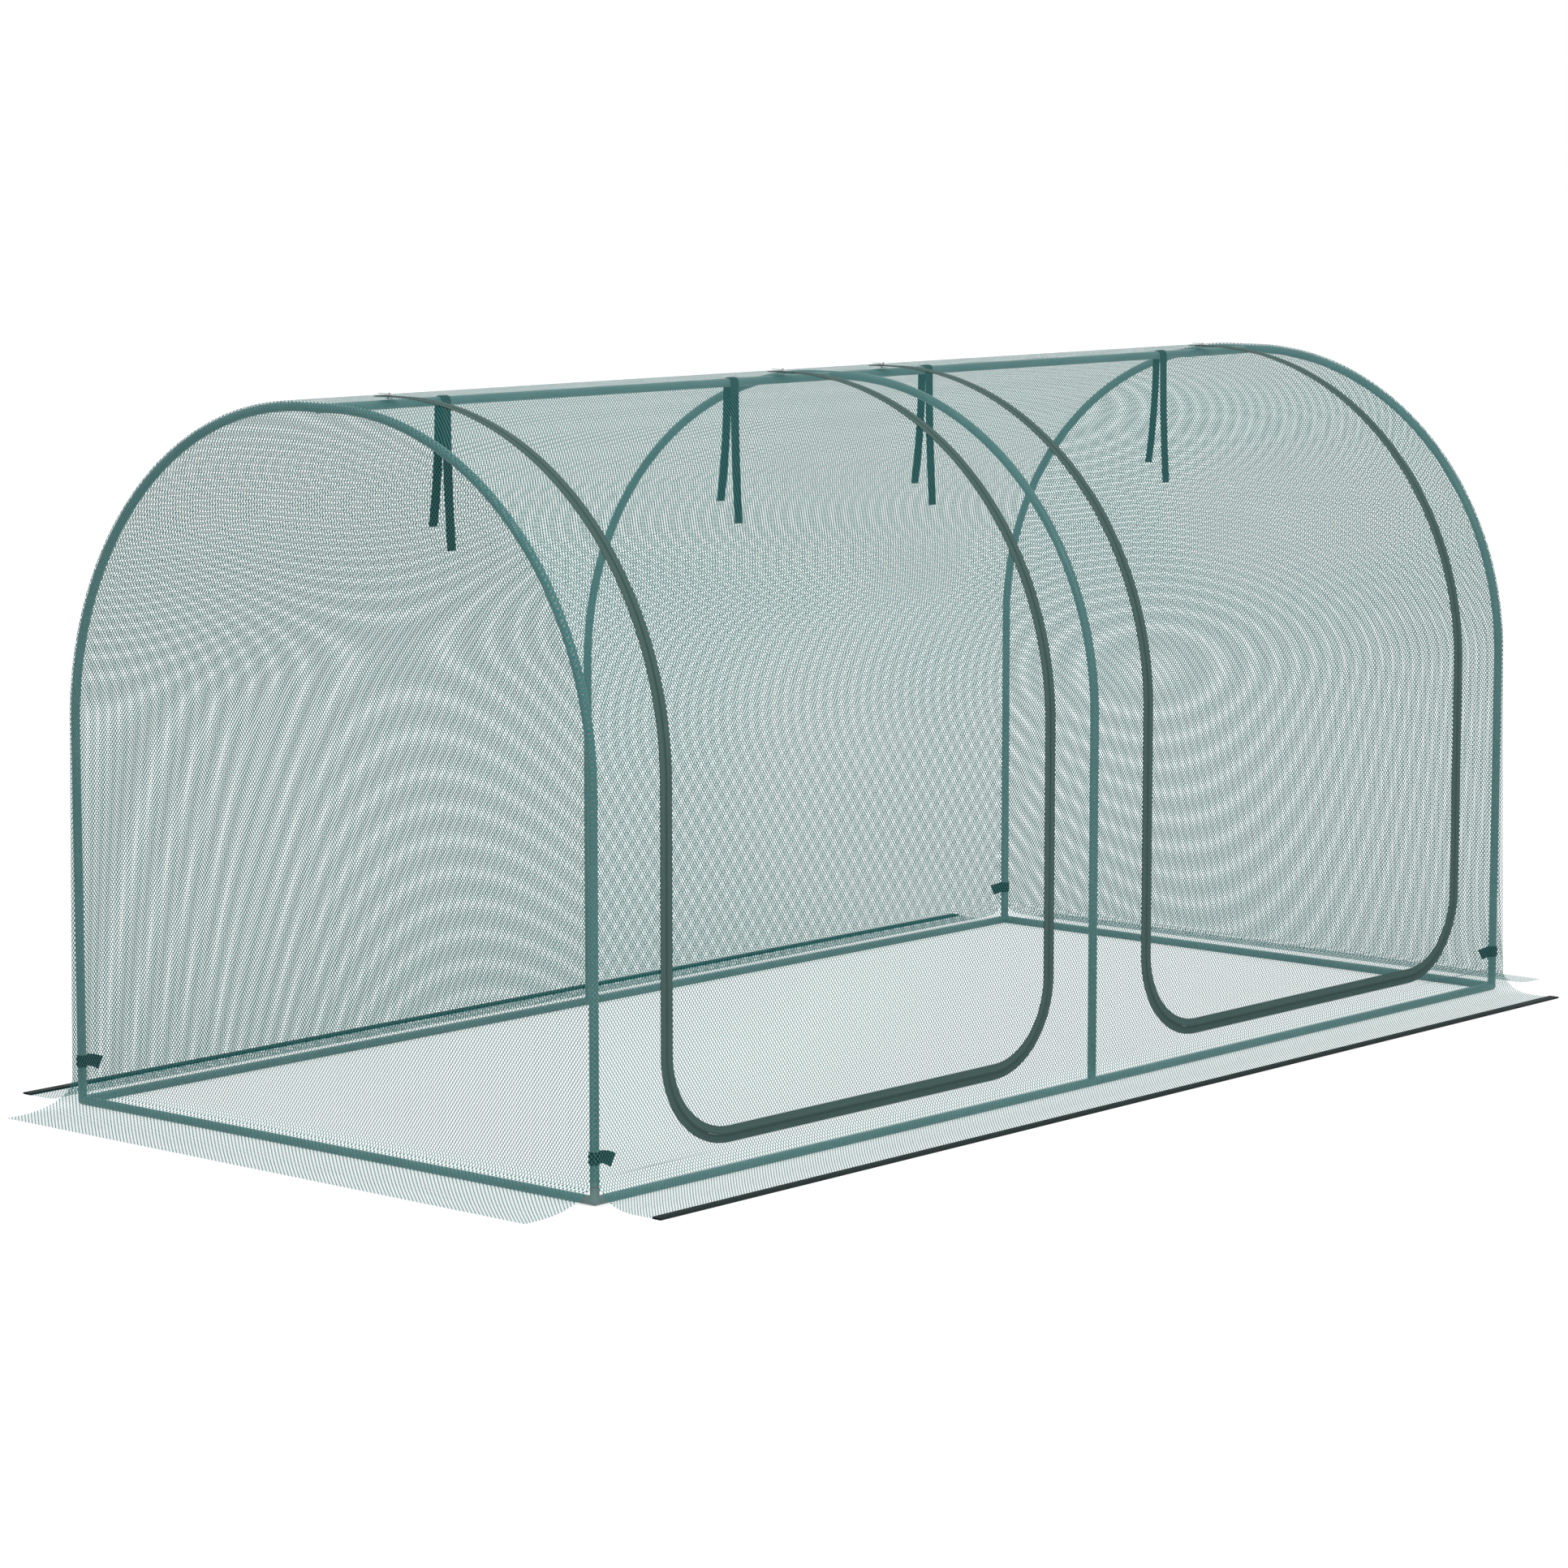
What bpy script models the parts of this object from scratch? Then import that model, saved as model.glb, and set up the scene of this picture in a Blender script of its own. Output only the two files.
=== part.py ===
"""A low arched fruit cage: push-fit steel tubes under a fitted net cover with two zipped doors.

Everything is in metres. X runs along the cage, -Y is the side with the doors and +Z is up. The origin
is on the ground under the middle of the cage. Left and right are as seen from the door side.
"""

import math

import bmesh
import bpy
from mathutils import Vector

# Overall size, over the outside of the frame's tubes
LENGTH = 2.5
WIDTH = 1.2
HEIGHT = 1.205

# Tube stock and push-fit joints
TUBE_DIAMETER = 0.015
TUBE_WALL = 0.0008
SEAT_GAP = 0.0003
SPIGOT_LENGTH = 0.035
FITTING_ARM = 0.022
HUB_SWELL = 0.0003

# Crown of each hoop: a straight stretch between its two bends, with a fitting in the middle of it
CROWN_LENGTH = 0.068
CROWN_FITTING_LENGTH = 0.032
RIDGE_DROP = 0.0018

# Net cover
NET_THICKNESS = 0.001
SIDE_SKIRT_REACH = 0.138
END_SKIRT_REACH = 0.154
FLARE_HEIGHT = 0.045
SIDE_SKIRT_LEVEL = 0.032
END_SKIRT_LEVEL = 0.026
HEM_RISE_LENGTH = 0.004
BINDING_WIDTH = 0.02
BINDING_THICKNESS = 0.0008

# Doors and their zips
ZIP_TO_MIDDLE_HOOP = 0.136
ZIP_TO_END_HOOP = 0.152
ZIP_HEIGHT = 0.068
ZIP_CORNER_RADIUS = 0.145
ZIP_TOP_OVERRUN = 0.010
HINGE_TO_CROWN_END = 0.004
TAPE_HALF_WIDTH = 0.0135
TAPE_THICKNESS = 0.001
TAPE_TO_HINGE = 0.008
CHAIN_HALF_SLOT = 0.0008
CHAIN_HALF_WIDTH = 0.003
CHAIN_THICKNESS = 0.0024

# Zip sliders and their pull tabs
SLIDER_LENGTH = 0.014
SLIDER_HALF_WIDTH = 0.0046
SLIDER_TAIL_HALF_WIDTH = 0.0034
SLIDER_PLATE = 0.001
SLIDER_SIDE_PLAY = 0.0006
SLIDER_PLAY_ABOVE = 0.0006
SLIDER_PLAY_BELOW = 0.002
SLIDER_POST_LENGTH = 0.004
SLIDER_POST_THICKNESS = 0.0008
SLIDER_TO_CROWN = 0.008
BAIL_THICKNESS = 0.001
BAIL_HALF_WIDTH = 0.0012
TAB_LENGTH = 0.026
TAB_HALF_WIDTH = 0.0032
TAB_THICKNESS = 0.0014
TAB_EYE_SIDE = 0.0016

# Webbing: the ties over the ridge and the straps round the legs
WEBBING_THICKNESS = 0.0015
WEBBING_WIDTH = 0.02
TIE_TO_ZIP = 0.127
TIE_FRONT_DROP = 0.2425
TIE_FRONT_LEAN = 0.009
TIE_BACK_DROP = 0.2055
TIE_BACK_LEAN = 0.016
STRAP_HEIGHT = 0.075
STRAP_TAB_LENGTH = 0.046

# How finely round shapes are cut
TUBE_SIDES = 10
ARCH_SEGMENTS = 18
SEAM_SEGMENT = 9
ZIP_CORNER_SEGMENTS = 6
FLARE_SEGMENTS = 5
TIE_TAIL_SEGMENTS = 5
TIE_LOOP_SEGMENTS = 8
STRAP_SIDES = 14
TAB_TIP_SEGMENTS = 6

# Sizes that follow from the ones above
TUBE_RADIUS = TUBE_DIAMETER / 2
BORE_RADIUS = TUBE_RADIUS - TUBE_WALL
SPIGOT_RADIUS = BORE_RADIUS - SEAT_GAP
HUB_RADIUS = TUBE_RADIUS + HUB_SWELL
RAIL_Z = HUB_RADIUS
HOOP_X = (LENGTH - TUBE_DIAMETER) / 2
LEG_Y = (WIDTH - TUBE_DIAMETER) / 2
APEX_Z = HEIGHT - TUBE_RADIUS
BEND_RADIUS = LEG_Y - CROWN_LENGTH / 2
SPRING_Z = APEX_Z - BEND_RADIUS
RIDGE_Z = APEX_Z - RIDGE_DROP

COVER_GAP = WEBBING_THICKNESS + 2 * SEAT_GAP
NET_INSIDE = TUBE_RADIUS + COVER_GAP
NET_OUTSIDE = NET_INSIDE + NET_THICKNESS
COVER_HALF_LENGTH = HOOP_X + NET_INSIDE
HEM_LIFT = BINDING_THICKNESS + SEAT_GAP
SKIRT_SEAM_Z = HEM_LIFT + FLARE_HEIGHT

TAPE_INSIDE = NET_OUTSIDE + SEAT_GAP
TAPE_OUTSIDE = TAPE_INSIDE + TAPE_THICKNESS
CHAIN_INSIDE = (TAPE_INSIDE + TAPE_OUTSIDE - CHAIN_THICKNESS) / 2
CHAIN_OUTSIDE = CHAIN_INSIDE + CHAIN_THICKNESS
HINGE_DISTANCE = CROWN_LENGTH / 2 - HINGE_TO_CROWN_END
NET_TO_ZIP_LINE = SLIDER_HALF_WIDTH + SLIDER_SIDE_PLAY

SLIDER_LOWER_PLATE_TOP = CHAIN_INSIDE - SLIDER_PLAY_BELOW
SLIDER_LOWER_PLATE_BOTTOM = SLIDER_LOWER_PLATE_TOP - SLIDER_PLATE
SLIDER_UPPER_PLATE_BOTTOM = CHAIN_OUTSIDE + SLIDER_PLAY_ABOVE
SLIDER_UPPER_PLATE_TOP = SLIDER_UPPER_PLATE_BOTTOM + SLIDER_PLATE
TAB_SWING_RADIUS = TAB_THICKNESS / math.sqrt(2)
TAB_AXIS_HEIGHT = SLIDER_UPPER_PLATE_TOP + SEAT_GAP + TAB_SWING_RADIUS
BAIL_UNDERSIDE = TAB_AXIS_HEIGHT + TAB_SWING_RADIUS + SEAT_GAP
BAIL_TOP = BAIL_UNDERSIDE + BAIL_THICKNESS
BAIL_INNER_REACH = TAB_SWING_RADIUS + SEAT_GAP
BAIL_OUTER_REACH = BAIL_INNER_REACH + BAIL_THICKNESS

# How far a joined shape reaches into its neighbour before the two are united
WELD = SLIDER_PLATE / 2

DOORS = {
    "left_door": (-(HOOP_X - ZIP_TO_END_HOOP), -ZIP_TO_MIDDLE_HOOP),
    "right_door": (ZIP_TO_MIDDLE_HOOP, HOOP_X - ZIP_TO_END_HOOP),
}
HOOPS = {"left": -HOOP_X, "middle": 0.0, "right": HOOP_X}

# Where the two long sides and the two ends lie, as shares of the half width and the half length
SIDE_SHARES = {"front": -1, "back": 1}
END_SHARES = {"left": -1, "right": 1}

X_AXIS = Vector((1, 0, 0))
Y_AXIS = Vector((0, 1, 0))
Z_AXIS = Vector((0, 0, 1))


# Scene and materials

def clear_scene():
    for old in list(bpy.data.objects):
        bpy.data.objects.remove(old, do_unlink=True)


def linear(red, green, blue):
    """A colour given in display values from 0 to 255, as the shader wants it."""
    def channel(value):
        share = value / 255
        return share / 12.92 if share <= 0.04045 else ((share + 0.055) / 1.055) ** 2.4
    return (channel(red), channel(green), channel(blue), 1.0)


def make_material(name, colour, roughness, metallic=0.0, alpha=1.0):
    material = bpy.data.materials.new(name)
    material.use_nodes = True
    shader = material.node_tree.nodes["Principled BSDF"]
    shader.inputs["Base Color"].default_value = colour
    shader.inputs["Roughness"].default_value = roughness
    shader.inputs["Metallic"].default_value = metallic
    shader.inputs["Alpha"].default_value = alpha
    material.diffuse_color = colour[:3] + (alpha,)
    return material


def add_object(name, mesh, material, origin=(0, 0, 0), axis_empty=None):
    """Places a mesh that was built in world positions, with its origin or its empty on its joint."""
    origin = Vector(origin)
    for vertex in mesh.vertices:
        vertex.co -= origin
    mesh.name = name
    mesh.materials.append(material)
    mesh.shade_smooth()
    mesh.set_sharp_from_angle(angle=math.radians(35))
    piece = bpy.data.objects.new(name, mesh)
    bpy.context.scene.collection.objects.link(piece)
    if axis_empty is None:
        piece.location = origin
    else:
        piece.parent = axis_empty
    return piece


def add_axis(name, origin, parent=None):
    """An empty on a joint's axis, which carries the pieces that turn there."""
    axis = bpy.data.objects.new(name, None)
    axis.empty_display_size = WEBBING_WIDTH
    bpy.context.scene.collection.objects.link(axis)
    axis.location = origin
    if parent is not None:
        axis.parent = parent
        axis.location = Vector(origin) - parent.location
    return axis


# Mesh builders

def finish_mesh(shape):
    bmesh.ops.recalc_face_normals(shape, faces=shape.faces)
    mesh = bpy.data.meshes.new("shape")
    shape.to_mesh(mesh)
    shape.free()
    return mesh


def slab(points, cells, place, low, high):
    """A closed solid from flat cells that share points: place(a, b, height) puts a point in space."""
    shape = bmesh.new()
    used = sorted({index for cell in cells for index in cell})
    lower = {i: shape.verts.new(place(*points[i], low)) for i in used}
    upper = {i: shape.verts.new(place(*points[i], high)) for i in used}
    edges = {(cell[k - 1], cell[k]) for cell in cells for k in range(len(cell))}
    for cell in cells:
        shape.faces.new([upper[i] for i in cell])
        shape.faces.new([lower[i] for i in reversed(cell)])
    for start, end in sorted(edges):
        if (end, start) not in edges:
            shape.faces.new([lower[start], lower[end], upper[end], upper[start]])
    return finish_mesh(shape)


def sheet(rows, filled, place, low, high):
    """A cloth sheet from rows of (distance, edges across), with the cells that filled(row, column) keeps."""
    points = [(across, distance) for distance, edges in rows for across in edges]
    count = len(rows[0][1])
    cells = []
    for row in range(len(rows) - 1):
        for column in range(count - 1):
            if filled(row, column):
                corner = row * count + column
                cells.append((corner, corner + 1, corner + count + 1, corner + count))
    return slab(points, cells, place, low, high)


def ribbon(stations, section, place):
    """Sweeps a closed section of (offset, height) points along stations of (a, b, normal a, normal b)."""
    shape = bmesh.new()
    rings = []
    for a, b, normal_a, normal_b in stations:
        ring = [shape.verts.new(place(a + normal_a * offset, b + normal_b * offset, height))
                for offset, height in section]
        rings.append(ring)
    for first, second in zip(rings, rings[1:]):
        for k in range(len(section)):
            shape.faces.new([first[k - 1], first[k], second[k], second[k - 1]])
    shape.faces.new(rings[0])
    shape.faces.new(list(reversed(rings[-1])))
    return finish_mesh(shape)


def ring_points(centre, side, across, radius):
    turns = [2 * math.pi * k / TUBE_SIDES for k in range(TUBE_SIDES)]
    return [centre + radius * (math.cos(turn) * side + math.sin(turn) * across) for turn in turns]


def join_rings(shape, rings):
    for first, second in zip(rings, rings[1:]):
        for k in range(TUBE_SIDES):
            shape.faces.new([first[k - 1], first[k], second[k], second[k - 1]])


def hollow_tube(stations):
    """A tube open at both ends: each station is (centre, side, across, outer radius, bore radius)."""
    shape = bmesh.new()
    outer = []
    inner = []
    for centre, side, across, outer_radius, bore_radius in stations:
        outer.append([shape.verts.new(p) for p in ring_points(centre, side, across, outer_radius)])
        inner.append([shape.verts.new(p) for p in ring_points(centre, side, across, bore_radius)])
    join_rings(shape, outer)
    join_rings(shape, inner)
    join_rings(shape, [outer[0], inner[0]])
    join_rings(shape, [outer[-1], inner[-1]])
    return finish_mesh(shape)


def solid_rod(start, direction, side, steps):
    """A stepped round bar: each step is (distance from the start, radius)."""
    shape = bmesh.new()
    across = direction.cross(side)
    rings = []
    for distance, radius in steps:
        points = ring_points(start + direction * distance, side, across, radius)
        rings.append([shape.verts.new(p) for p in points])
    join_rings(shape, rings)
    shape.faces.new(rings[0])
    shape.faces.new(list(reversed(rings[-1])))
    return finish_mesh(shape)


def ball(centre, radius):
    shape = bmesh.new()
    bmesh.ops.create_icosphere(shape, subdivisions=2, radius=radius)
    bmesh.ops.translate(shape, verts=shape.verts, vec=centre)
    return finish_mesh(shape)


def united(meshes):
    """One closed mesh from closed meshes that overlap."""
    operands = []
    for mesh in meshes:
        operand = bpy.data.objects.new("operand", mesh)
        bpy.context.scene.collection.objects.link(operand)
        operands.append(operand)
    for operand in operands[1:]:
        operand.hide_render = True
        operand.display_type = "WIRE"
        union = operands[0].modifiers.new("union", "BOOLEAN")
        union.operation = "UNION"
        union.solver = "EXACT"
        union.object = operand
    depsgraph = bpy.context.evaluated_depsgraph_get()
    result = bpy.data.meshes.new_from_object(operands[0].evaluated_get(depsgraph))
    for operand in operands:
        bpy.data.objects.remove(operand, do_unlink=True)
    return result


# The arch, which the hoops, the cover, the doors and the zips all follow

def arch_stations():
    """(distance, y, z, outward y, outward z) from the middle of the crown down to the ground in front."""
    stations = [(0.0, 0.0, APEX_Z, 0.0, 1.0)]
    places = [(-CROWN_LENGTH / 2, APEX_Z, 0.0, 1.0)]
    for k in range(1, ARCH_SEGMENTS + 1):
        angle = math.pi / 2 * (1 - k / ARCH_SEGMENTS)
        out_y = -math.cos(angle)
        out_z = math.sin(angle)
        places.append((-CROWN_LENGTH / 2 + BEND_RADIUS * out_y, SPRING_Z + BEND_RADIUS * out_z, out_y, out_z))
    places.append((-LEG_Y, 0.0, -1.0, 0.0))
    for y, z, out_y, out_z in places:
        distance, last_y, last_z = stations[-1][:3]
        distance += math.hypot(y - last_y, z - last_z)
        stations.append((distance, y, z, out_y, out_z))
    return stations


ARCH = arch_stations()
BEND = ARCH[1:-1]
SEAM_DISTANCE = BEND[SEAM_SEGMENT][0]
FOOT_DISTANCE = ARCH[-1][0]


def on_arch(x, distance, height):
    """A point on the arch: distance runs from the crown, positive to the front, height from the tube's axis."""
    side = -1.0 if distance < 0 else 1.0
    reach = min(abs(distance), FOOT_DISTANCE)
    for upper, lower in zip(ARCH, ARCH[1:]):
        if reach <= lower[0]:
            break
    share = (reach - upper[0]) / (lower[0] - upper[0])
    y = (upper[1] + upper[3] * height) * (1 - share) + (lower[1] + lower[3] * height) * share
    z = (upper[2] + upper[4] * height) * (1 - share) + (lower[2] + lower[4] * height) * share
    return Vector((x, side * y, z))


def distances_between(start, end, extra=()):
    """The distances of a sheet's rows: its ends, every station of the arch between them, and extra ones."""
    grid = {station[0] for station in ARCH} | {-station[0] for station in ARCH} | set(extra)
    return [start] + sorted(d for d in grid if start < d < end) + [end]


def distance_at(z):
    """Where a height on the straight legs lies along the arch."""
    return FOOT_DISTANCE - z


ZIP_BOTTOM = distance_at(ZIP_HEIGHT)
ZIP_CORNER_START = ZIP_BOTTOM - ZIP_CORNER_RADIUS


# Frame

def hoop_tube(x, side):
    """Half a hoop in one bent tube: up from the foot fitting, round the shoulder, to the crown fitting."""
    def station(y, z, out_y, out_z):
        return (Vector((x, -side * y, z)), Vector((0, -side * out_y, out_z)), X_AXIS, TUBE_RADIUS, BORE_RADIUS)
    stations = [station(-LEG_Y, RAIL_Z + FITTING_ARM + SEAT_GAP, -1.0, 0.0)]
    stations += [station(*place) for _, *place in reversed(BEND)]
    stations.append(station(-(CROWN_FITTING_LENGTH / 2 + SEAT_GAP), APEX_Z, 0.0, 1.0))
    return hollow_tube(stations)


def rail(start, end):
    """A straight tube between two fittings whose centres are given."""
    direction = (end - start).normalized()
    side = Z_AXIS if abs(direction.x) > abs(direction.y) else X_AXIS
    inset = direction * (FITTING_ARM + SEAT_GAP)
    across = direction.cross(side)
    return hollow_tube([(p, side, across, TUBE_RADIUS, BORE_RADIUS) for p in (start + inset, end - inset)])


def fitting_arm(centre, direction, side, shoulder=FITTING_ARM, spigot=SPIGOT_LENGTH):
    steps = [(0, TUBE_RADIUS), (shoulder, TUBE_RADIUS), (shoulder, SPIGOT_RADIUS), (shoulder + spigot, SPIGOT_RADIUS)]
    return solid_rod(centre, direction, side, steps)


def through_arm(centre, direction, side, shoulder, spigot):
    """A bar with a spigot at each end, and the full tube's diameter between them."""
    reach = shoulder + spigot
    steps = [
        (0, SPIGOT_RADIUS), (spigot, SPIGOT_RADIUS), (spigot, TUBE_RADIUS),
        (spigot + 2 * shoulder, TUBE_RADIUS), (spigot + 2 * shoulder, SPIGOT_RADIUS), (2 * reach, SPIGOT_RADIUS),
    ]
    return solid_rod(centre - direction * reach, direction, side, steps)


def corner_fitting(x, y):
    centre = Vector((x, y, RAIL_Z))
    inward_x = X_AXIS * math.copysign(1, -x)
    inward_y = Y_AXIS * math.copysign(1, -y)
    return united([
        ball(centre, HUB_RADIUS),
        fitting_arm(centre, Z_AXIS, Y_AXIS),
        fitting_arm(centre, inward_x, Z_AXIS),
        fitting_arm(centre, inward_y, X_AXIS),
    ])


def foot_fitting(y):
    centre = Vector((0, y, RAIL_Z))
    return united([
        ball(centre, HUB_RADIUS),
        through_arm(centre, X_AXIS, Z_AXIS, FITTING_ARM, SPIGOT_LENGTH),
        fitting_arm(centre, Z_AXIS, Y_AXIS),
    ])


def crown_fitting(x):
    """Joins the two bends of a hoop and the ridge tube on each side of it that has one."""
    centre = Vector((x, 0, APEX_Z))
    ridge_centre = Vector((x, 0, RIDGE_Z))
    shoulder = CROWN_FITTING_LENGTH / 2
    crown_spigot = CROWN_LENGTH / 2 - shoulder - SEAT_GAP
    shapes = [ball(centre, HUB_RADIUS), through_arm(centre, Y_AXIS, Z_AXIS, shoulder, crown_spigot)]
    if x == 0:
        shapes.append(through_arm(ridge_centre, X_AXIS, Z_AXIS, FITTING_ARM, SPIGOT_LENGTH))
    else:
        shapes.append(fitting_arm(ridge_centre, X_AXIS * math.copysign(1, -x), Z_AXIS))
    return united(shapes)


def build_frame(paint):
    for hoop, x in HOOPS.items():
        for side_name, side in SIDE_SHARES.items():
            add_object(f"{hoop}_{side_name}_hoop_tube", hoop_tube(x, side), paint)
        add_object(f"{hoop}_crown_fitting", crown_fitting(x), paint)
    for side_name, side in SIDE_SHARES.items():
        y = side * LEG_Y
        middle = Vector((0, y, RAIL_Z))
        add_object(f"{side_name}_left_rail", rail(Vector((-HOOP_X, y, RAIL_Z)), middle), paint)
        add_object(f"{side_name}_right_rail", rail(middle, Vector((HOOP_X, y, RAIL_Z))), paint)
        add_object(f"{side_name}_foot_fitting", foot_fitting(y), paint)
        add_object(f"{side_name}_left_corner_fitting", corner_fitting(-HOOP_X, y), paint)
        add_object(f"{side_name}_right_corner_fitting", corner_fitting(HOOP_X, y), paint)
    for end_name, end in END_SHARES.items():
        x = end * HOOP_X
        ends = [Vector((x, -LEG_Y, RAIL_Z)), Vector((x, LEG_Y, RAIL_Z))]
        add_object(f"{end_name}_end_rail", rail(*ends), paint)
        add_object(f"{end_name}_ridge_tube", rail(Vector((x, 0, RIDGE_Z)), Vector((0, 0, RIDGE_Z))), paint)


# Net cover

def corner_rows(offset):
    """Rows of (distance, inset from the door's side) down a rounded door corner, offset from the zip line."""
    radius = ZIP_CORNER_RADIUS + offset
    rows = []
    for k in range(ZIP_CORNER_SEGMENTS + 1):
        angle = math.pi / 2 * k / ZIP_CORNER_SEGMENTS
        rows.append((ZIP_CORNER_START + radius * math.sin(angle), ZIP_CORNER_RADIUS - radius * math.cos(angle)))
    return rows


def roof_net():
    """From one shoulder seam to the other, with a notch in front for each door and a slot for each zip top."""
    zip_lines = [x for door in DOORS.values() for x in door]
    edges = [-COVER_HALF_LENGTH + SEAT_GAP]
    for x in zip_lines:
        edges += [x - NET_TO_ZIP_LINE, x + NET_TO_ZIP_LINE]
    edges.append(COVER_HALF_LENGTH - SEAT_GAP)
    slot_columns = (1, 3, 5, 7)
    door_columns = (2, 6)
    slot_start = -(ZIP_TOP_OVERRUN + NET_TO_ZIP_LINE)
    extra = [slot_start, HINGE_DISTANCE]
    distances = distances_between(-SEAM_DISTANCE + SEAT_GAP, SEAM_DISTANCE - SEAT_GAP, extra)

    def filled(row, column):
        middle = (distances[row] + distances[row + 1]) / 2
        if column in slot_columns:
            return middle < slot_start
        if column in door_columns:
            return middle < HINGE_DISTANCE
        return True
    rows = [(d, edges) for d in distances]
    return sheet(rows, filled, on_arch, NET_INSIDE, NET_OUTSIDE)


def front_net():
    """Below the front shoulder seam, round the two doorways, down to the skirt's seam."""
    corners = corner_rows(NET_TO_ZIP_LINE)
    straight = distances_between(SEAM_DISTANCE + SEAT_GAP, ZIP_CORNER_START)
    rows = []
    for distance, inset in [(d, -NET_TO_ZIP_LINE) for d in straight[:-1]] + corners:
        edges = [-COVER_HALF_LENGTH + SEAT_GAP]
        for left, right in DOORS.values():
            edges += [left + inset, right - inset]
        edges.append(COVER_HALF_LENGTH - SEAT_GAP)
        rows.append((distance, edges))
    hole_rows = len(rows) - 1
    rows.append((distance_at(SKIRT_SEAM_Z + SEAT_GAP), rows[-1][1]))
    door_columns = (1, 3)

    def filled(row, column):
        return row >= hole_rows or column not in door_columns
    return sheet(rows, filled, on_arch, NET_INSIDE, NET_OUTSIDE)


def back_net():
    edges = [-COVER_HALF_LENGTH + SEAT_GAP, COVER_HALF_LENGTH - SEAT_GAP]
    distances = distances_between(-distance_at(SKIRT_SEAM_Z + SEAT_GAP), -SEAM_DISTANCE - SEAT_GAP)
    return sheet([(d, edges) for d in distances], lambda row, column: True, on_arch, NET_INSIDE, NET_OUTSIDE)


def end_net(side):
    """The flat arched panel that closes one end of the cage."""
    foot = distance_at(SKIRT_SEAM_Z + SEAT_GAP)
    outline = [on_arch(0, d, NET_OUTSIDE) for d in distances_between(-foot, foot)]
    points = [(p.y, p.z) for p in outline]
    inside = side * COVER_HALF_LENGTH

    def place(y, z, depth):
        return Vector((inside + side * depth, y, z))
    return slab(points, [tuple(range(len(points)))], place, 0, NET_THICKNESS)


def door_net(left, right):
    """One door panel: from its hinge line over the shoulder and down to its rounded bottom corners."""
    corners = corner_rows(-NET_TO_ZIP_LINE)
    straight = distances_between(HINGE_DISTANCE + SEAT_GAP, ZIP_CORNER_START)
    rows = [(d, [left + NET_TO_ZIP_LINE, right - NET_TO_ZIP_LINE]) for d in straight[:-1]]
    rows += [(d, [left + inset, right - inset]) for d, inset in corners]
    return sheet(rows, lambda row, column: True, on_arch, NET_INSIDE, NET_OUTSIDE)


def skirt(half_wall, half_hem, wall, ground, axis_place):
    """A net skirt: it leaves the wall at the seam, bends out to the ground and runs on to its hem.

    ground lists the (distance out, height) points of the part that lies down, the hem last.
    """
    flare_reach = ground[0][0] - wall
    hem = ground[-1][0]
    profile = []
    for k in range(FLARE_SEGMENTS):
        angle = math.pi / 2 * k / FLARE_SEGMENTS
        facing = Vector((SKIRT_SEAM_Z * math.cos(angle), flare_reach * math.sin(angle))).normalized()
        out = wall + flare_reach * (1 - math.cos(angle))
        profile.append((out, SKIRT_SEAM_Z * (1 - math.sin(angle)), facing))
    profile += [(out, z, Vector((0, 1))) for out, z in ground]
    rows = []
    for index, (out, _, _) in enumerate(profile):
        half = half_wall + (half_hem - half_wall) * (out - wall) / (hem - wall)
        rows.append((index, [-half, half]))

    def place(across, index, height):
        out, z, facing = profile[int(index)]
        return axis_place(across, out + facing.x * height, z + facing.y * height)
    return sheet(rows, lambda row, column: True, place, 0, NET_THICKNESS)


def side_skirt(side):
    """It rises a little at the binding, which folds under its hem."""
    hem = WIDTH / 2 + SIDE_SKIRT_REACH - BINDING_THICKNESS - SEAT_GAP
    binding_edge = WIDTH / 2 + SIDE_SKIRT_REACH - BINDING_WIDTH - SEAT_GAP
    level_end = binding_edge - HEM_RISE_LENGTH
    ground = [(level_end - SIDE_SKIRT_LEVEL, 0), (level_end, 0), (binding_edge, HEM_LIFT), (hem, HEM_LIFT)]
    return skirt(COVER_HALF_LENGTH - SEAT_GAP, LENGTH / 2, LEG_Y + NET_INSIDE, ground,
                 lambda across, out, z: Vector((across, side * out, z)))


def end_skirt(side):
    hem = LENGTH / 2 + END_SKIRT_REACH
    return skirt(LEG_Y + NET_OUTSIDE, WIDTH / 2, COVER_HALF_LENGTH, [(hem - END_SKIRT_LEVEL, 0), (hem, 0)],
                 lambda across, out, z: Vector((side * out, across, z)))


def hem_binding(side):
    """A folded tape over the hem of a long skirt."""
    outside = WIDTH / 2 + SIDE_SKIRT_REACH
    inside = outside - BINDING_WIDTH
    fold = outside - BINDING_THICKNESS
    top = 2 * HEM_LIFT + NET_THICKNESS
    section = [
        (inside, 0), (outside, 0), (outside, top), (inside, top),
        (inside, top - BINDING_THICKNESS), (fold, top - BINDING_THICKNESS), (fold, BINDING_THICKNESS),
        (inside, BINDING_THICKNESS),
    ]
    stations = [(-LENGTH / 2, 0, 0, 1), (LENGTH / 2, 0, 0, 1)]
    return ribbon(stations, section, lambda x, out, z: Vector((x, side * out, z)))


def build_cover(net, binding):
    add_object("roof_net", roof_net(), net)
    add_object("front_net", front_net(), net)
    add_object("back_net", back_net(), net)
    for end_name, side in END_SHARES.items():
        add_object(f"{end_name}_end_net", end_net(side), net)
        add_object(f"{end_name}_skirt", end_skirt(side), net)
    for side_name, side in SIDE_SHARES.items():
        add_object(f"{side_name}_skirt", side_skirt(side), net)
        add_object(f"{side_name}_hem_binding", hem_binding(side), binding)


# Doors and zips

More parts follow.
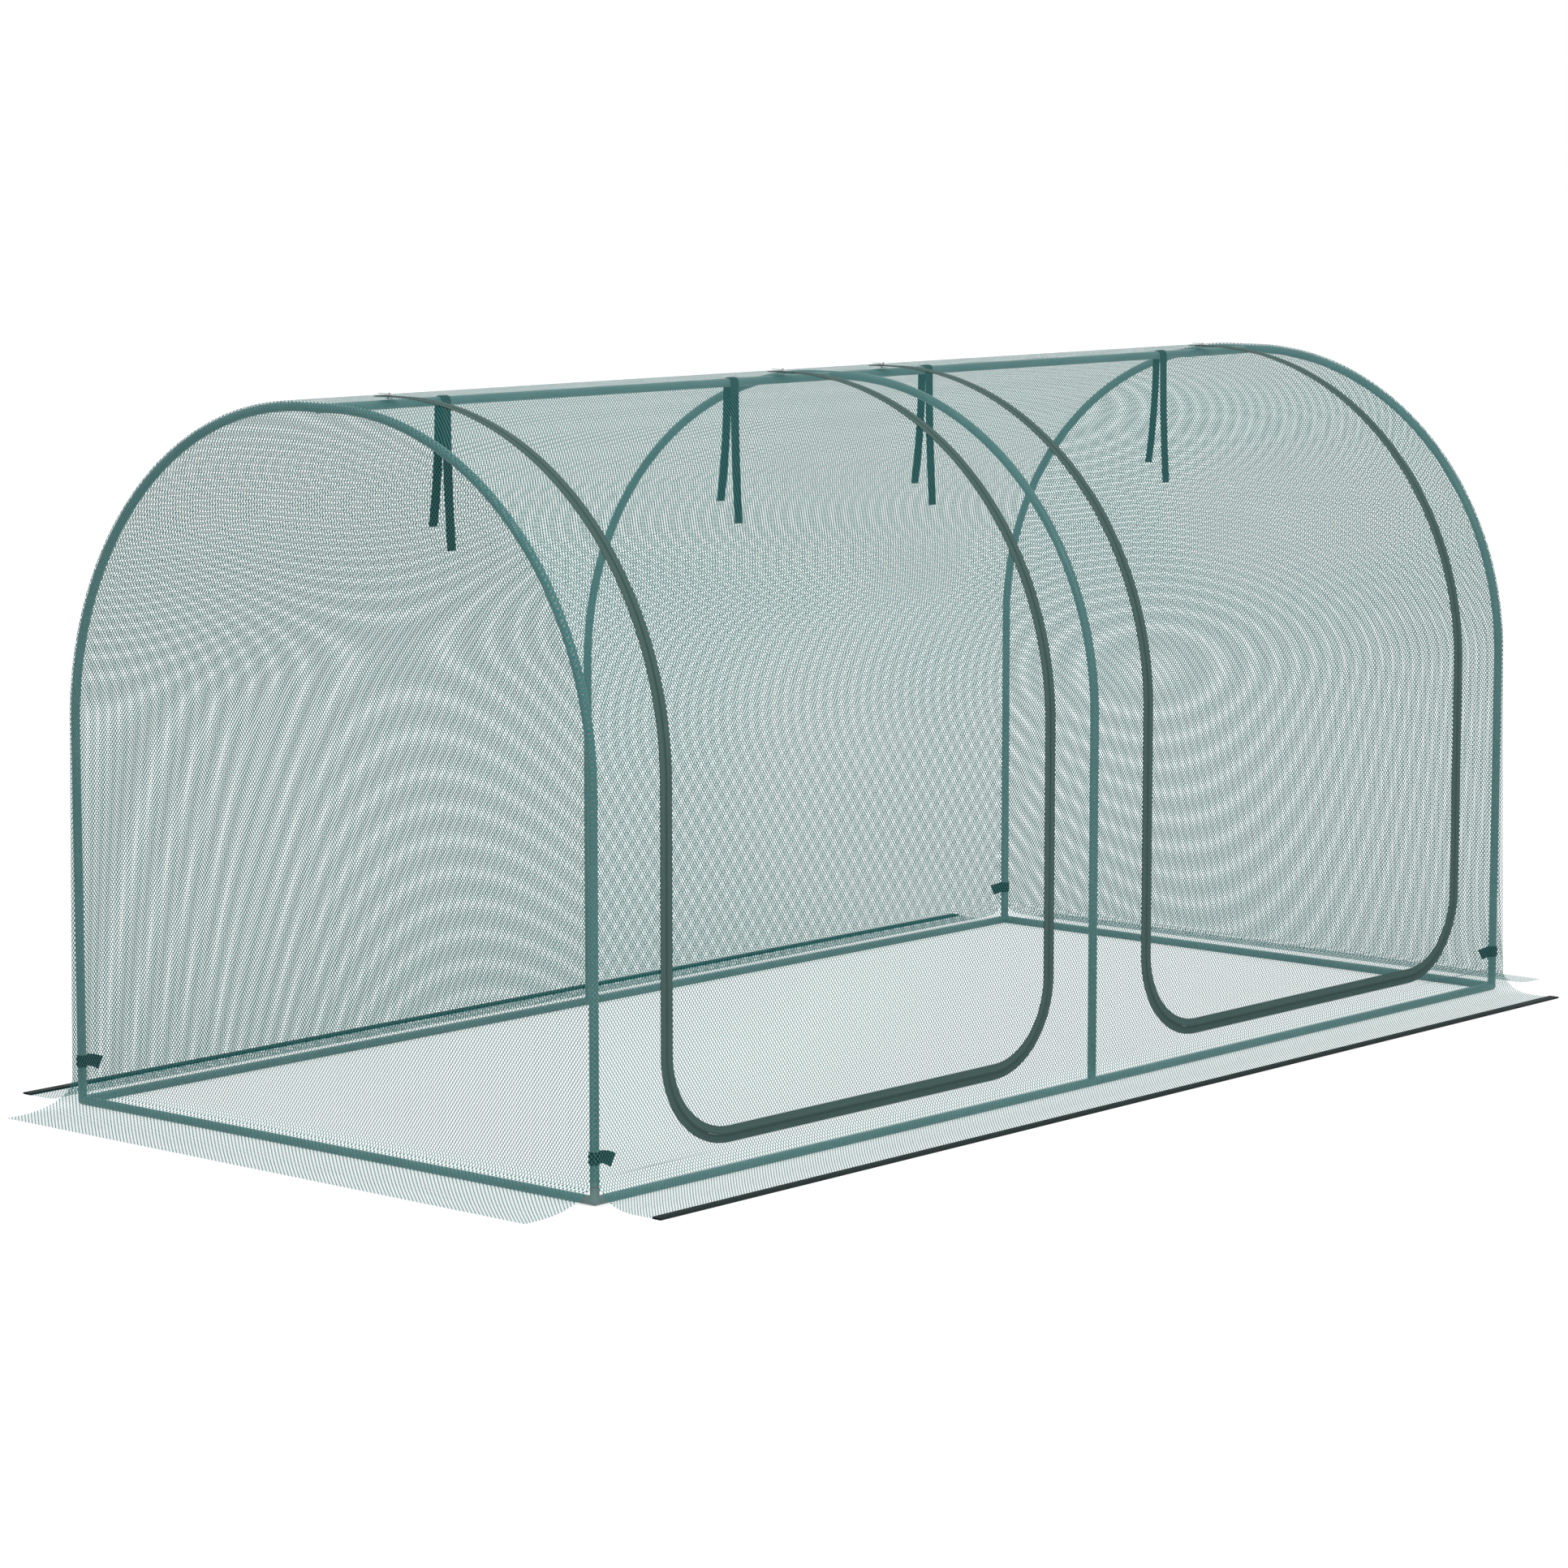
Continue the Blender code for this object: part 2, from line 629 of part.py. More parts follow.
def zip_stations(left, right, start):
    """The zip line from its left top, round the two bottom corners, to its right top."""
    down = distances_between(start, ZIP_CORNER_START)
    stations = [(left, d, -1.0, 0.0) for d in down[:-1]]
    turns = [math.pi / 2 * k / ZIP_CORNER_SEGMENTS for k in range(ZIP_CORNER_SEGMENTS + 1)]
    for centre, sign, angles in ((left + ZIP_CORNER_RADIUS, -1.0, turns),
                                 (right - ZIP_CORNER_RADIUS, 1.0, turns[::-1])):
        for angle in angles:
            across = sign * math.cos(angle)
            along = math.sin(angle)
            stations.append((centre + ZIP_CORNER_RADIUS * across, ZIP_CORNER_START + ZIP_CORNER_RADIUS * along,
                             across, along))
    stations += [(right, d, 1.0, 0.0) for d in reversed(down[:-1])]
    return stations


def tape_section(sign):
    """Half a zip: the tape, with half of the chain thickening along its inner edge."""
    return [
        (sign * CHAIN_HALF_SLOT, CHAIN_INSIDE), (sign * CHAIN_HALF_WIDTH, TAPE_INSIDE),
        (sign * TAPE_HALF_WIDTH, TAPE_INSIDE), (sign * TAPE_HALF_WIDTH, TAPE_OUTSIDE),
        (sign * CHAIN_HALF_WIDTH, TAPE_OUTSIDE), (sign * CHAIN_HALF_SLOT, CHAIN_OUTSIDE),
    ]


def frame_zip_tape(left, right):
    """The half that stays on the cover. It folds round each top end of the zip, above the hinge line."""
    top = -ZIP_TOP_OVERRUN
    stub_end = HINGE_DISTANCE - SEAT_GAP
    turns = [math.pi * k / ZIP_CORNER_SEGMENTS for k in range(ZIP_CORNER_SEGMENTS)]
    stub = distances_between(top, stub_end)[::-1]
    left_fold = [(left, d, 1.0, 0.0) for d in stub[:-1]]
    left_fold += [(left, top, math.cos(turn), -math.sin(turn)) for turn in turns]
    right_fold = [(x_turn[0], x_turn[1], -x_turn[2], x_turn[3]) for x_turn in left_fold[::-1]]
    right_fold = [(right, distance, across, along) for _, distance, across, along in right_fold]
    stations = left_fold + zip_stations(left, right, top) + right_fold
    return ribbon(stations, tape_section(1), on_arch)


def door_zip_tape(left, right):
    """The half that lifts with the door. It starts a little below the hinge line."""
    return ribbon(zip_stations(left, right, HINGE_DISTANCE + TAPE_TO_HINGE), tape_section(-1), on_arch)


def on_crown(x, y, height):
    return Vector((x, y, APEX_Z + height))


def box(x_half, y_low, y_high, low, high, x):
    points = [(x - x_half, y_low), (x + x_half, y_low), (x + x_half, y_high), (x - x_half, y_high)]
    return slab(points, [(0, 1, 2, 3)], on_crown, low, high)


def slider(x, y):
    """A zip slider at rest on the crown: two plates, the post between them and the bail for the tab."""
    half = SLIDER_LENGTH / 2
    shoulder = y + half - SLIDER_POST_LENGTH
    outline = [
        (x - SLIDER_TAIL_HALF_WIDTH, y - half), (x + SLIDER_TAIL_HALF_WIDTH, y - half),
        (x + SLIDER_HALF_WIDTH, shoulder), (x + SLIDER_TAIL_HALF_WIDTH, y + half),
        (x - SLIDER_TAIL_HALF_WIDTH, y + half), (x - SLIDER_HALF_WIDTH, shoulder),
    ]
    cell = [tuple(range(len(outline)))]
    upper = slab(outline, cell, on_crown, SLIDER_UPPER_PLATE_BOTTOM, SLIDER_UPPER_PLATE_TOP)
    lower = slab(outline, cell, on_crown, SLIDER_LOWER_PLATE_BOTTOM, SLIDER_LOWER_PLATE_TOP)
    post_end = y + half - WELD
    post = box(SLIDER_POST_THICKNESS / 2, post_end - SLIDER_POST_LENGTH, post_end,
               SLIDER_LOWER_PLATE_TOP - WELD, SLIDER_UPPER_PLATE_BOTTOM + WELD, x)
    foot = SLIDER_UPPER_PLATE_TOP - WELD
    bail_points = [
        (y - BAIL_OUTER_REACH, foot), (y - BAIL_INNER_REACH, foot), (y - BAIL_INNER_REACH, BAIL_UNDERSIDE),
        (y + BAIL_INNER_REACH, BAIL_UNDERSIDE), (y + BAIL_INNER_REACH, foot), (y + BAIL_OUTER_REACH, foot),
        (y + BAIL_OUTER_REACH, BAIL_TOP), (y - BAIL_OUTER_REACH, BAIL_TOP),
    ]
    bail = slab(bail_points, [(0, 1, 2, 7), (2, 3, 6, 7), (3, 4, 5, 6)],
                lambda along, height, across: on_crown(x + across, along, height), -BAIL_HALF_WIDTH, BAIL_HALF_WIDTH)
    return united([upper, lower, post, bail])


def pull_tab(x, y):
    """A flat tab whose end bar is held under the bail, lying back over the roof from the slider."""
    bar = TAB_THICKNESS / 2
    eye_half = TAB_HALF_WIDTH - TAB_EYE_SIDE
    eye_end = math.hypot(BAIL_OUTER_REACH, BAIL_TOP - TAB_AXIS_HEIGHT) + SEAT_GAP
    tip_centre = TAB_LENGTH - TAB_HALF_WIDTH
    points = [
        (-TAB_HALF_WIDTH, -bar), (-eye_half, -bar), (eye_half, -bar), (TAB_HALF_WIDTH, -bar),
        (-TAB_HALF_WIDTH, bar), (-eye_half, bar), (eye_half, bar), (TAB_HALF_WIDTH, bar),
        (-TAB_HALF_WIDTH, eye_end), (-eye_half, eye_end), (eye_half, eye_end), (TAB_HALF_WIDTH, eye_end),
    ]
    cells = [(0, 1, 5, 4), (1, 2, 6, 5), (2, 3, 7, 6), (4, 5, 9, 8), (6, 7, 11, 10)]
    tip = []
    for k in range(TAB_TIP_SEGMENTS + 1):
        turn = math.pi * k / TAB_TIP_SEGMENTS
        tip.append(len(points))
        points.append((TAB_HALF_WIDTH * math.cos(turn), tip_centre + TAB_HALF_WIDTH * math.sin(turn)))
    cells.append((8, 9, 10, 11, *tip))

    def place(across, along, height):
        return on_crown(x + across, y + along, TAB_AXIS_HEIGHT + height)
    return slab(points, cells, place, -bar, bar)


def build_doors(net, tape, metal):
    hinge_y = -HINGE_DISTANCE
    hinge_z = APEX_Z + NET_OUTSIDE
    slider_y = -SLIDER_TO_CROWN
    for door, (left, right) in DOORS.items():
        hinge_point = Vector(((left + right) / 2, hinge_y, hinge_z))
        hinge = add_axis(f"{door}_hinge_line", hinge_point)
        add_object(f"{door}_net", door_net(left, right), net, hinge_point, hinge)
        add_object(f"{door}_zip_tape", door_zip_tape(left, right), tape, hinge_point, hinge)
        add_object(f"{door}_frame_zip_tape", frame_zip_tape(left, right), tape)
        for side_name, x in (("left", left), ("right", right)):
            arch_centre = Vector((x, -CROWN_LENGTH / 2, SPRING_Z))
            travel = add_axis(f"{door}_{side_name}_slider_arc", arch_centre)
            add_object(f"{door}_{side_name}_slider", slider(x, slider_y), metal, arch_centre, travel)
            pivot = Vector((x, slider_y, APEX_Z + TAB_AXIS_HEIGHT))
            flip = add_axis(f"{door}_{side_name}_tab_pivot", pivot, travel)
            add_object(f"{door}_{side_name}_pull_tab", pull_tab(x, slider_y), metal, pivot, flip)


# Webbing ties and straps

def tie(x):
    """A strap over the ridge tube with a tail hanging on each side, the back one curling away."""
    inner = TUBE_RADIUS + SEAT_GAP
    outer = inner + WEBBING_THICKNESS
    pairs = []
    tail_shares = [k / TIE_TAIL_SEGMENTS for k in range(TIE_TAIL_SEGMENTS, 0, -1)]
    for share in tail_shares:
        lean = TIE_FRONT_LEAN * share ** 2
        z = -TIE_FRONT_DROP * share
        pairs.append(((-outer - lean, z), (-inner - lean, z)))
    for k in range(TIE_LOOP_SEGMENTS + 1):
        angle = math.pi * (1 - k / TIE_LOOP_SEGMENTS)
        pairs.append(((outer * math.cos(angle), outer * math.sin(angle)),
                      (inner * math.cos(angle), inner * math.sin(angle))))
    for share in reversed(tail_shares):
        lean = TIE_BACK_LEAN * share ** 2
        z = -TIE_BACK_DROP * share
        pairs.append(((outer + lean, z), (inner + lean, z)))
    points = [point for pair in pairs for point in pair]
    cells = [(2 * k, 2 * k + 1, 2 * k + 3, 2 * k + 2) for k in range(len(pairs) - 1)]

    def place(y, z, across):
        return Vector((x + across, y, RIDGE_Z + z))
    return slab(points, cells, place, -WEBBING_WIDTH / 2, WEBBING_WIDTH / 2)


def corner_strap(x, y):
    """A strap round a leg near its foot, closed on itself in a double tab that points into the cage."""
    inner = TUBE_RADIUS + SEAT_GAP
    outer = inner + WEBBING_THICKNESS
    opening = math.asin(WEBBING_THICKNESS / outer)
    points = []
    for k in range(STRAP_SIDES + 1):
        angle = opening + (2 * math.pi - 2 * opening) * k / STRAP_SIDES
        points.append((outer * math.cos(angle), outer * math.sin(angle)))
        points.append((inner * math.cos(angle), inner * math.sin(angle)))
    cells = [(2 * k, 2 * k + 2, 2 * k + 3, 2 * k + 1) for k in range(STRAP_SIDES)]
    last = 2 * STRAP_SIDES
    tab = len(points)
    points += [(STRAP_TAB_LENGTH, WEBBING_THICKNESS), (STRAP_TAB_LENGTH, -WEBBING_THICKNESS)]
    cells.append((last, 0, 1, last + 1))
    cells.append((last, tab + 1, tab, 0))
    inward = math.copysign(1, -x)

    def place(along, across, height):
        return Vector((x + inward * along, y + across, STRAP_HEIGHT + height))
    return slab(points, cells, place, -WEBBING_WIDTH / 2, WEBBING_WIDTH / 2)


def build_webbing(webbing):
    for door, (left, right) in DOORS.items():
        for side_name, x in (("left", left + TIE_TO_ZIP), ("right", right - TIE_TO_ZIP)):
            centre = Vector((x, 0, RIDGE_Z))
            swing = add_axis(f"{door}_{side_name}_tie_swing", centre)
            add_object(f"{door}_{side_name}_tie", tie(x), webbing, centre, swing)
    for side_name, side in SIDE_SHARES.items():
        for end_name, end in END_SHARES.items():
            strap = corner_strap(end * HOOP_X, side * LEG_Y)
            add_object(f"{side_name}_{end_name}_corner_strap", strap, webbing)


clear_scene()
PAINT = make_material("green_powder_coat", linear(78, 116, 115), 0.42, 0.1)
NET = make_material("knitted_net", linear(176, 199, 196), 0.9, alpha=0.45)
TAPE = make_material("zip_tape", linear(66, 90, 88), 0.85)
BINDING = make_material("hem_binding", linear(38, 60, 58), 0.8)
WEBBING = make_material("webbing", linear(60, 78, 77), 0.88)
METAL = make_material("plated_zinc", linear(176, 192, 190), 0.3, 1.0)
build_frame(PAINT)
build_cover(NET, BINDING)
build_doors(NET, TAPE, METAL)
build_webbing(WEBBING)
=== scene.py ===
"""The looks of the fruit cage: coated tubes, knitted see-through net, zips, webbing and studio.

Everything is in metres in the frame of the CAD model. X runs along the cage, -Y is the side with
the doors, +Z is up, and left and right are as seen from the door side.
"""

import math

import bmesh
import bpy
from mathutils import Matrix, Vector


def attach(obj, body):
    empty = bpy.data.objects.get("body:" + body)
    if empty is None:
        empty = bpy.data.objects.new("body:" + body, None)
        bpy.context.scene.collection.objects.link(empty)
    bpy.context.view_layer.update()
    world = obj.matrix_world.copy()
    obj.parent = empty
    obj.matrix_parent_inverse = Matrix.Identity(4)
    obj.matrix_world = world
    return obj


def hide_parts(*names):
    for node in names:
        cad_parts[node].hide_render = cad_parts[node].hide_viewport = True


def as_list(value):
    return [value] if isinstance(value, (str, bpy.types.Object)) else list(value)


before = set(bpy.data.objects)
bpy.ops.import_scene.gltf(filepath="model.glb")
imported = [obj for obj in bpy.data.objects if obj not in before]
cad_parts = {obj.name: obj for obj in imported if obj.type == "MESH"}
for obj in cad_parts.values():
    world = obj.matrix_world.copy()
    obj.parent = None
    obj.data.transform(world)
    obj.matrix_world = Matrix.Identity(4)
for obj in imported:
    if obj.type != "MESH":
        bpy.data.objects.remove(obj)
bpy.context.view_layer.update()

# The camera, solved from the photograph: its place, where it looks and its lens
CAMERA_PLACE = (-6.70259, -5.75039, 1.68425)
CAMERA_AZIMUTH = -48.8419
CAMERA_ELEVATION = 7.8273
CAMERA_LENS_MM = 114.90
CAMERA_SENSOR_MM = 36.0
CAMERA_FAR = 200.0

# Frame sizes, as in the CAD model
LENGTH = 2.5
WIDTH = 1.2
HEIGHT = 1.205
TUBE_RADIUS = 0.0075
TUBE_WALL = 0.0008
TUBE_EDGE = 0.0004
TUBE_LIP = 0.004
SEAT_GAP = 0.0003
SPIGOT_LENGTH = 0.035
FITTING_ARM = 0.022
HUB_RADIUS = 0.0078
CROWN_HALF = 0.034
CROWN_ARM = 0.016
RIDGE_DROP = 0.0018
WELD_BEAD = 0.0007
WELD_RIPPLE = 0.14

HOOP_X = LENGTH / 2 - TUBE_RADIUS
LEG_Y = WIDTH / 2 - TUBE_RADIUS
APEX_Z = HEIGHT - TUBE_RADIUS
BEND_RADIUS = LEG_Y - CROWN_HALF
SPRING_Z = APEX_Z - BEND_RADIUS
RAIL_Z = HUB_RADIUS
RIDGE_Z = APEX_Z - RIDGE_DROP
BORE_RADIUS = TUBE_RADIUS - TUBE_WALL

# Lengths along the arch, from the middle of the crown
BEND_LENGTH = BEND_RADIUS * math.pi / 2
BEND_END = CROWN_HALF + BEND_LENGTH
FOOT_DISTANCE = BEND_END + SPRING_Z
SEAM_DISTANCE = CROWN_HALF + BEND_LENGTH / 2

# Net cover, with heights counted from the axis of the hoop tubes
WEBBING_THICKNESS = 0.0015
WEBBING_WIDTH = 0.02
NET_INSIDE = TUBE_RADIUS + WEBBING_THICKNESS + 2 * SEAT_GAP
NET_THICKNESS = 0.001
NET_MIDDLE = NET_INSIDE + NET_THICKNESS / 2
NET_OUTSIDE = NET_INSIDE + NET_THICKNESS

# How the loose cover hangs off the frame near the ground
HANG_HEIGHT = 0.3
HANG_REACH = 0.016
HANG_FROM_LEG = 0.12
HANG_FALL = 3.5
HANG_FALL_LEAN = 1.5

# Skirts and their bindings
SIDE_SKIRT_REACH = 0.138
END_SKIRT_REACH = 0.154
FLARE_HEIGHT = 0.045
SIDE_SKIRT_LEVEL = 0.032
END_SKIRT_LEVEL = 0.026
HEM_RISE_LENGTH = 0.004
BINDING_WIDTH = 0.02
BINDING_THICKNESS = 0.0008
HEM_LIFT = BINDING_THICKNESS + SEAT_GAP
SKIRT_SEAM_Z = HEM_LIFT + FLARE_HEIGHT

# Doors and zips
DOORS = {"left_door": (-1.0905, -0.136), "right_door": (0.136, 1.0905)}
ZIP_HEIGHT = 0.068
ZIP_CORNER_RADIUS = 0.145
ZIP_TOP_OVERRUN = 0.010
ZIP_BOTTOM = FOOT_DISTANCE - ZIP_HEIGHT
ZIP_CORNER_START = ZIP_BOTTOM - ZIP_CORNER_RADIUS
NET_TO_ZIP_LINE = 0.0052
HINGE_DISTANCE = 0.030
TAPE_TO_HINGE = 0.008
TAPE_HALF_WIDTH = 0.0135
TAPE_INSIDE = NET_OUTSIDE + SEAT_GAP
TAPE_OUTSIDE = TAPE_INSIDE + 0.001
CHAIN_HALF_SLOT = 0.00041
CHAIN_CLOSED_GAP = 0.0001
CHAIN_EDGE = 0.0003
CHAIN_CREST = 0.0022
CHAIN_HALF_WIDTH = 0.003
TOOTH_PITCH = 0.0016
CHAIN_INSIDE = 0.0102
CHAIN_OUTSIDE = 0.0126

# Zip sliders and pull tabs, also counted from the tube's axis
SLIDER_Y = -0.008
SLIDER_HALF_LENGTH = 0.007
SLIDER_HALF_WIDTH = 0.0046
SLIDER_TAIL_HALF_WIDTH = 0.0034
SLIDER_BULGE = 0.0005
SLIDER_ROUND_IN = 0.0003
SLIDER_ROUND_LENGTH = 0.0015
SLIDER_EDGE = 0.00025
POST_LENGTH = 0.004
POST_TO_NOSE = 0.0005
POST_HALF_WIDTH = 0.0004
POST_EDGE = 0.0001
SLIDER_PLATE = 0.001
LOWER_PLATE_BOTTOM = 0.0072
UPPER_PLATE_BOTTOM = 0.0132
TAB_AXIS_HEIGHT = 0.01549
TAB_LENGTH = 0.026
TAB_HALF_WIDTH = 0.0032
TAB_THICKNESS = 0.0014
TAB_WAIST = 0.72 * TAB_HALF_WIDTH
TAB_EYE_HALF = TAB_HALF_WIDTH - 0.0016
TAB_EYE_END = 0.0035
TAB_NECK = 0.003
TAB_FLARE_START = 0.006
TAB_FLARE_END = 0.002
TAB_HOLE_RADIUS = 0.0013
BAIL_INSIDE = 0.0013
BAIL_THICKNESS = 0.001
BAIL_HALF_WIDTH = 0.0012
BAIL_TOP = 0.01778

# Webbing
WEBBING_EDGE = 0.0005
TIE_TO_ZIP = 0.127
TIE_FRONT_DROP = 0.2425
TIE_FRONT_LEAN = 0.009
TIE_BACK_DROP = 0.2055
TIE_BACK_LEAN = 0.016
STRAP_HEIGHT = 0.075
STRAP_TAB_LENGTH = 0.046
STRAP_TAB_DROOPS = {"left": 0.009, "right": 0.002}
STRAP_TAB_SLANT = 0.012
STRAP_OPENING = 0.02

# The knitted mesh: its holes stand in staggered rows, and run level on the walls
MESH_ACROSS = 0.00632
MESH_ALONG = 0.00844
MESH_HOLE_RADIUS = 0.00229
MESH_HOLE_EDGE = 0.00022
MESH_WOBBLE = 0.00012
MESH_STRAND_RISE = 0.0011
SIDE_SKIRT_MESH = (1.0, 1.36)
END_SKIRT_MESH = (0.92, 1.0)

# The net turns round the tubes of the end hoops: half of the turn is on the arch, half on the end
TURN_COLUMNS = 3
HALF_TURN = math.pi / 4
TURN_LENGTH = NET_MIDDLE * HALF_TURN

# How finely shapes are cut
TUBE_SIDES = 24
ARCH_STEP = 0.0137
CORNER_STEPS = 18
FLARE_STEPS = 14
HUB_STEPS = 20
RAIL_STEPS = 12
WELD_STEPS = 40
WELD_SIDES = 8
BACK_COLUMNS = 8
END_COLUMNS = 10
DOOR_COLUMNS = 6
SKIRT_COLUMNS = 40
FOLD_STEPS = 10
HEM_STEPS = 60
TIE_STEPS = 16
STRAP_STEPS = 28
STRAP_TAB_STEPS = 10
BAIL_STEPS = 12
BAIL_SIDES = 10
TAB_STEPS = 16

# Studio
FLOOR_REACH = 60.0
FLOOR_DROP = 0.0005
FLOOR_GLOW = 0.72
SURROUND_LIGHT = 0.8
LAMP_SIZE = 4.0
LAMPS = {"key_lamp": ((-3.5, -5.0, 5.5), 190.0), "fill_lamp": ((5.0, 3.0, 4.5), 60.0)}
WHITE = (1, 1, 1, 1)

SIDES = {"front": -1, "back": 1}
ENDS = {"left": -1, "right": 1}
HOOPS = {"left": -HOOP_X, "middle": 0.0, "right": HOOP_X}
X_AXIS = Vector((1, 0, 0))
Y_AXIS = Vector((0, 1, 0))
Z_AXIS = Vector((0, 0, 1))


# Colours and shader nodes

def linear(red, green, blue):
    """A colour given in display values from 0 to 255, as the shader wants it."""
    def channel(value):
        share = value / 255
        return share / 12.92 if share <= 0.04045 else ((share + 0.055) / 1.055) ** 2.4
    return (channel(red), channel(green), channel(blue), 1.0)


class Graph:
    """A material's shader nodes, added one at a time."""

    def __init__(self, name, roughness, metallic=0.0):
        self.material = bpy.data.materials.new(name)
        self.material.use_nodes = True
        self.tree = self.material.node_tree
        self.shader = self.tree.nodes["Principled BSDF"]
        self.set("Roughness", roughness)
        self.set("Metallic", metallic)
        self.place = self.tree.nodes.new("ShaderNodeTexCoord").outputs["Object"]

    def node(self, kind, inputs=None, **settings):
        made = self.tree.nodes.new(kind)
        for name, value in settings.items():
            setattr(made, name, value)
        for name, value in (inputs or {}).items():
            self.feed(made.inputs[name], value)
        return made

    def feed(self, socket, value):
        if isinstance(value, bpy.types.NodeSocket):
            self.tree.links.new(value, socket)
        else:
            socket.default_value = value

    def set(self, name, value):
        self.shader.inputs[name].default_value = value

    def math(self, operation, first, second=0.0, third=0.0):
        made = self.node("ShaderNodeMath", {0: first, 1: second, 2: third}, operation=operation)
        return made.outputs["Value"]

    def vector(self, operation, first, second=(0, 0, 0)):
        made = self.node("ShaderNodeVectorMath", {0: first, 1: second}, operation=operation)
        return made.outputs["Value" if operation == "LENGTH" else "Vector"]

    def noise(self, scale, detail=2.0, stretch=(1, 1, 1), place=None):
        stretched = self.vector("MULTIPLY", place or self.place, stretch)
        made = self.node("ShaderNodeTexNoise", {"Vector": stretched, "Scale": scale, "Detail": detail})
        return made.outputs["Fac"]

    def times(self, first, second):
        return self.math("MULTIPLY", first, second)

    def without(self, share):
        return self.math("SUBTRACT", 1.0, share)

    def step(self, value, low, high):
        """0 below low, 1 above high and a smooth ramp between them."""
        made = self.node("ShaderNodeMapRange", {"Value": value, "From Min": low, "From Max": high},
                         interpolation_type="SMOOTHSTEP")
        return made.outputs["Result"]

    def blend(self, share, first, second):
        made = self.node("ShaderNodeMix", {"Factor": share, "A": first, "B": second}, data_type="RGBA")
        return made.outputs["Result"]

    def tint(self, tone, mask, strength, colour):
        """Lays a colour over a tone, with that strength where the mask is 1."""
        return self.blend(self.times(mask, strength), tone, colour)

    def uv(self):
        """(place in metres along and across the piece, its first part, its second part)."""
        place = self.node("ShaderNodeUVMap", uv_map="UVMap").outputs["UV"]
        parts = self.node("ShaderNodeSeparateXYZ", {0: place})
        return place, parts.outputs["X"], parts.outputs["Y"]

    def colour(self, value):
        self.feed(self.shader.inputs["Base Color"], value)

    def rough(self, value, low, high):
        made = self.node("ShaderNodeMapRange", {"Value": value, "To Min": low, "To Max": high})
        self.feed(self.shader.inputs["Roughness"], made.outputs["Result"])

    def bump(self, height, depth, strength):
        made = self.node("ShaderNodeBump", {"Height": height, "Distance": depth, "Strength": strength})
        self.feed(self.shader.inputs["Normal"], made.outputs["Normal"])


def powder_coat():
    """Satin green powder coat: orange peel, cloudy tone, fine rubs and a little dust near the ground."""
    graph = Graph("green_powder_coat_finish", 0.42)
    cloud = graph.noise(9.0, 3.0)
    peel = graph.noise(620.0, 1.5)
    rub = graph.noise(90.0, 5.0, (1, 1, 0.12))
    tone = graph.blend(graph.step(cloud, 0.35, 0.65), linear(109, 138, 137), linear(117, 146, 145))
    tone = graph.tint(tone, graph.step(rub, 0.66, 0.74), 0.28, linear(130, 160, 158))
    parts = graph.node("ShaderNodeSeparateXYZ", {0: graph.place})
    low = graph.without(graph.step(parts.outputs["Z"], 0.0, 0.022))
    dust = graph.times(low, graph.times(graph.step(cloud, 0.3, 0.7), 0.1))
    graph.colour(graph.blend(dust, tone, linear(124, 158, 155)))
    graph.rough(peel, 0.36, 0.52)
    graph.bump(peel, 0.00012, 0.5)
    graph.set("Coat Weight", 0.15)
    graph.set("Coat Roughness", 0.3)
    return graph.material


def knitted_net():
    """Knitted mesh: round holes in staggered rows between soft rounded strands of fine yarn."""
    graph = Graph("knitted_net_finish", 0.75)
    place = graph.uv()[0]
    cells = graph.vector("MULTIPLY", place, (1 / MESH_ACROSS, 1 / MESH_ALONG, 0))
    reaches = []
    for shift in ((0, 0, 0), (0.5, 0.5, 0)):
        part = graph.vector("FRACTION", graph.vector("ADD", cells, shift))
        centred = graph.vector("SUBTRACT", part, (0.5, 0.5, 0))
        measured = graph.vector("MULTIPLY", centred, (MESH_ACROSS, MESH_ALONG, 0))
        reaches.append(graph.vector("LENGTH", measured))
    reach = graph.math("MINIMUM", *reaches)
    wobble = graph.math("MULTIPLY_ADD", graph.noise(900.0, 1.0, place=place), 2 * MESH_WOBBLE, -MESH_WOBBLE)
    edge = graph.math("ADD", reach, wobble)
    strand = graph.step(edge, MESH_HOLE_RADIUS - MESH_HOLE_EDGE, MESH_HOLE_RADIUS + MESH_HOLE_EDGE)
    graph.feed(graph.shader.inputs["Alpha"], strand)
    crown = graph.step(edge, MESH_HOLE_RADIUS, MESH_HOLE_RADIUS + MESH_STRAND_RISE)
    yarn = graph.noise(2600.0, 2.0, (1, 0.35, 1), place)
    # Painted shade: the strands are darker at their edges than on their crowns, where their rounded sides
    # turn from the light.
    tone = graph.blend(crown, linear(44, 118, 117), linear(61, 142, 141))
    # Painted highlight: lighter streaks where the yarn catches the light.
    tone = graph.tint(tone, graph.step(yarn, 0.45, 0.7), 0.3, linear(80, 158, 157))
    graph.colour(graph.tint(tone, graph.step(graph.noise(5.0, 2.0), 0.4, 0.65), 0.12, linear(44, 116, 115)))
    graph.bump(graph.math("ADD", crown, graph.times(yarn, 0.25)), 0.0004, 0.6)
    graph.set("Specular IOR Level", 0.03)
    return graph.material


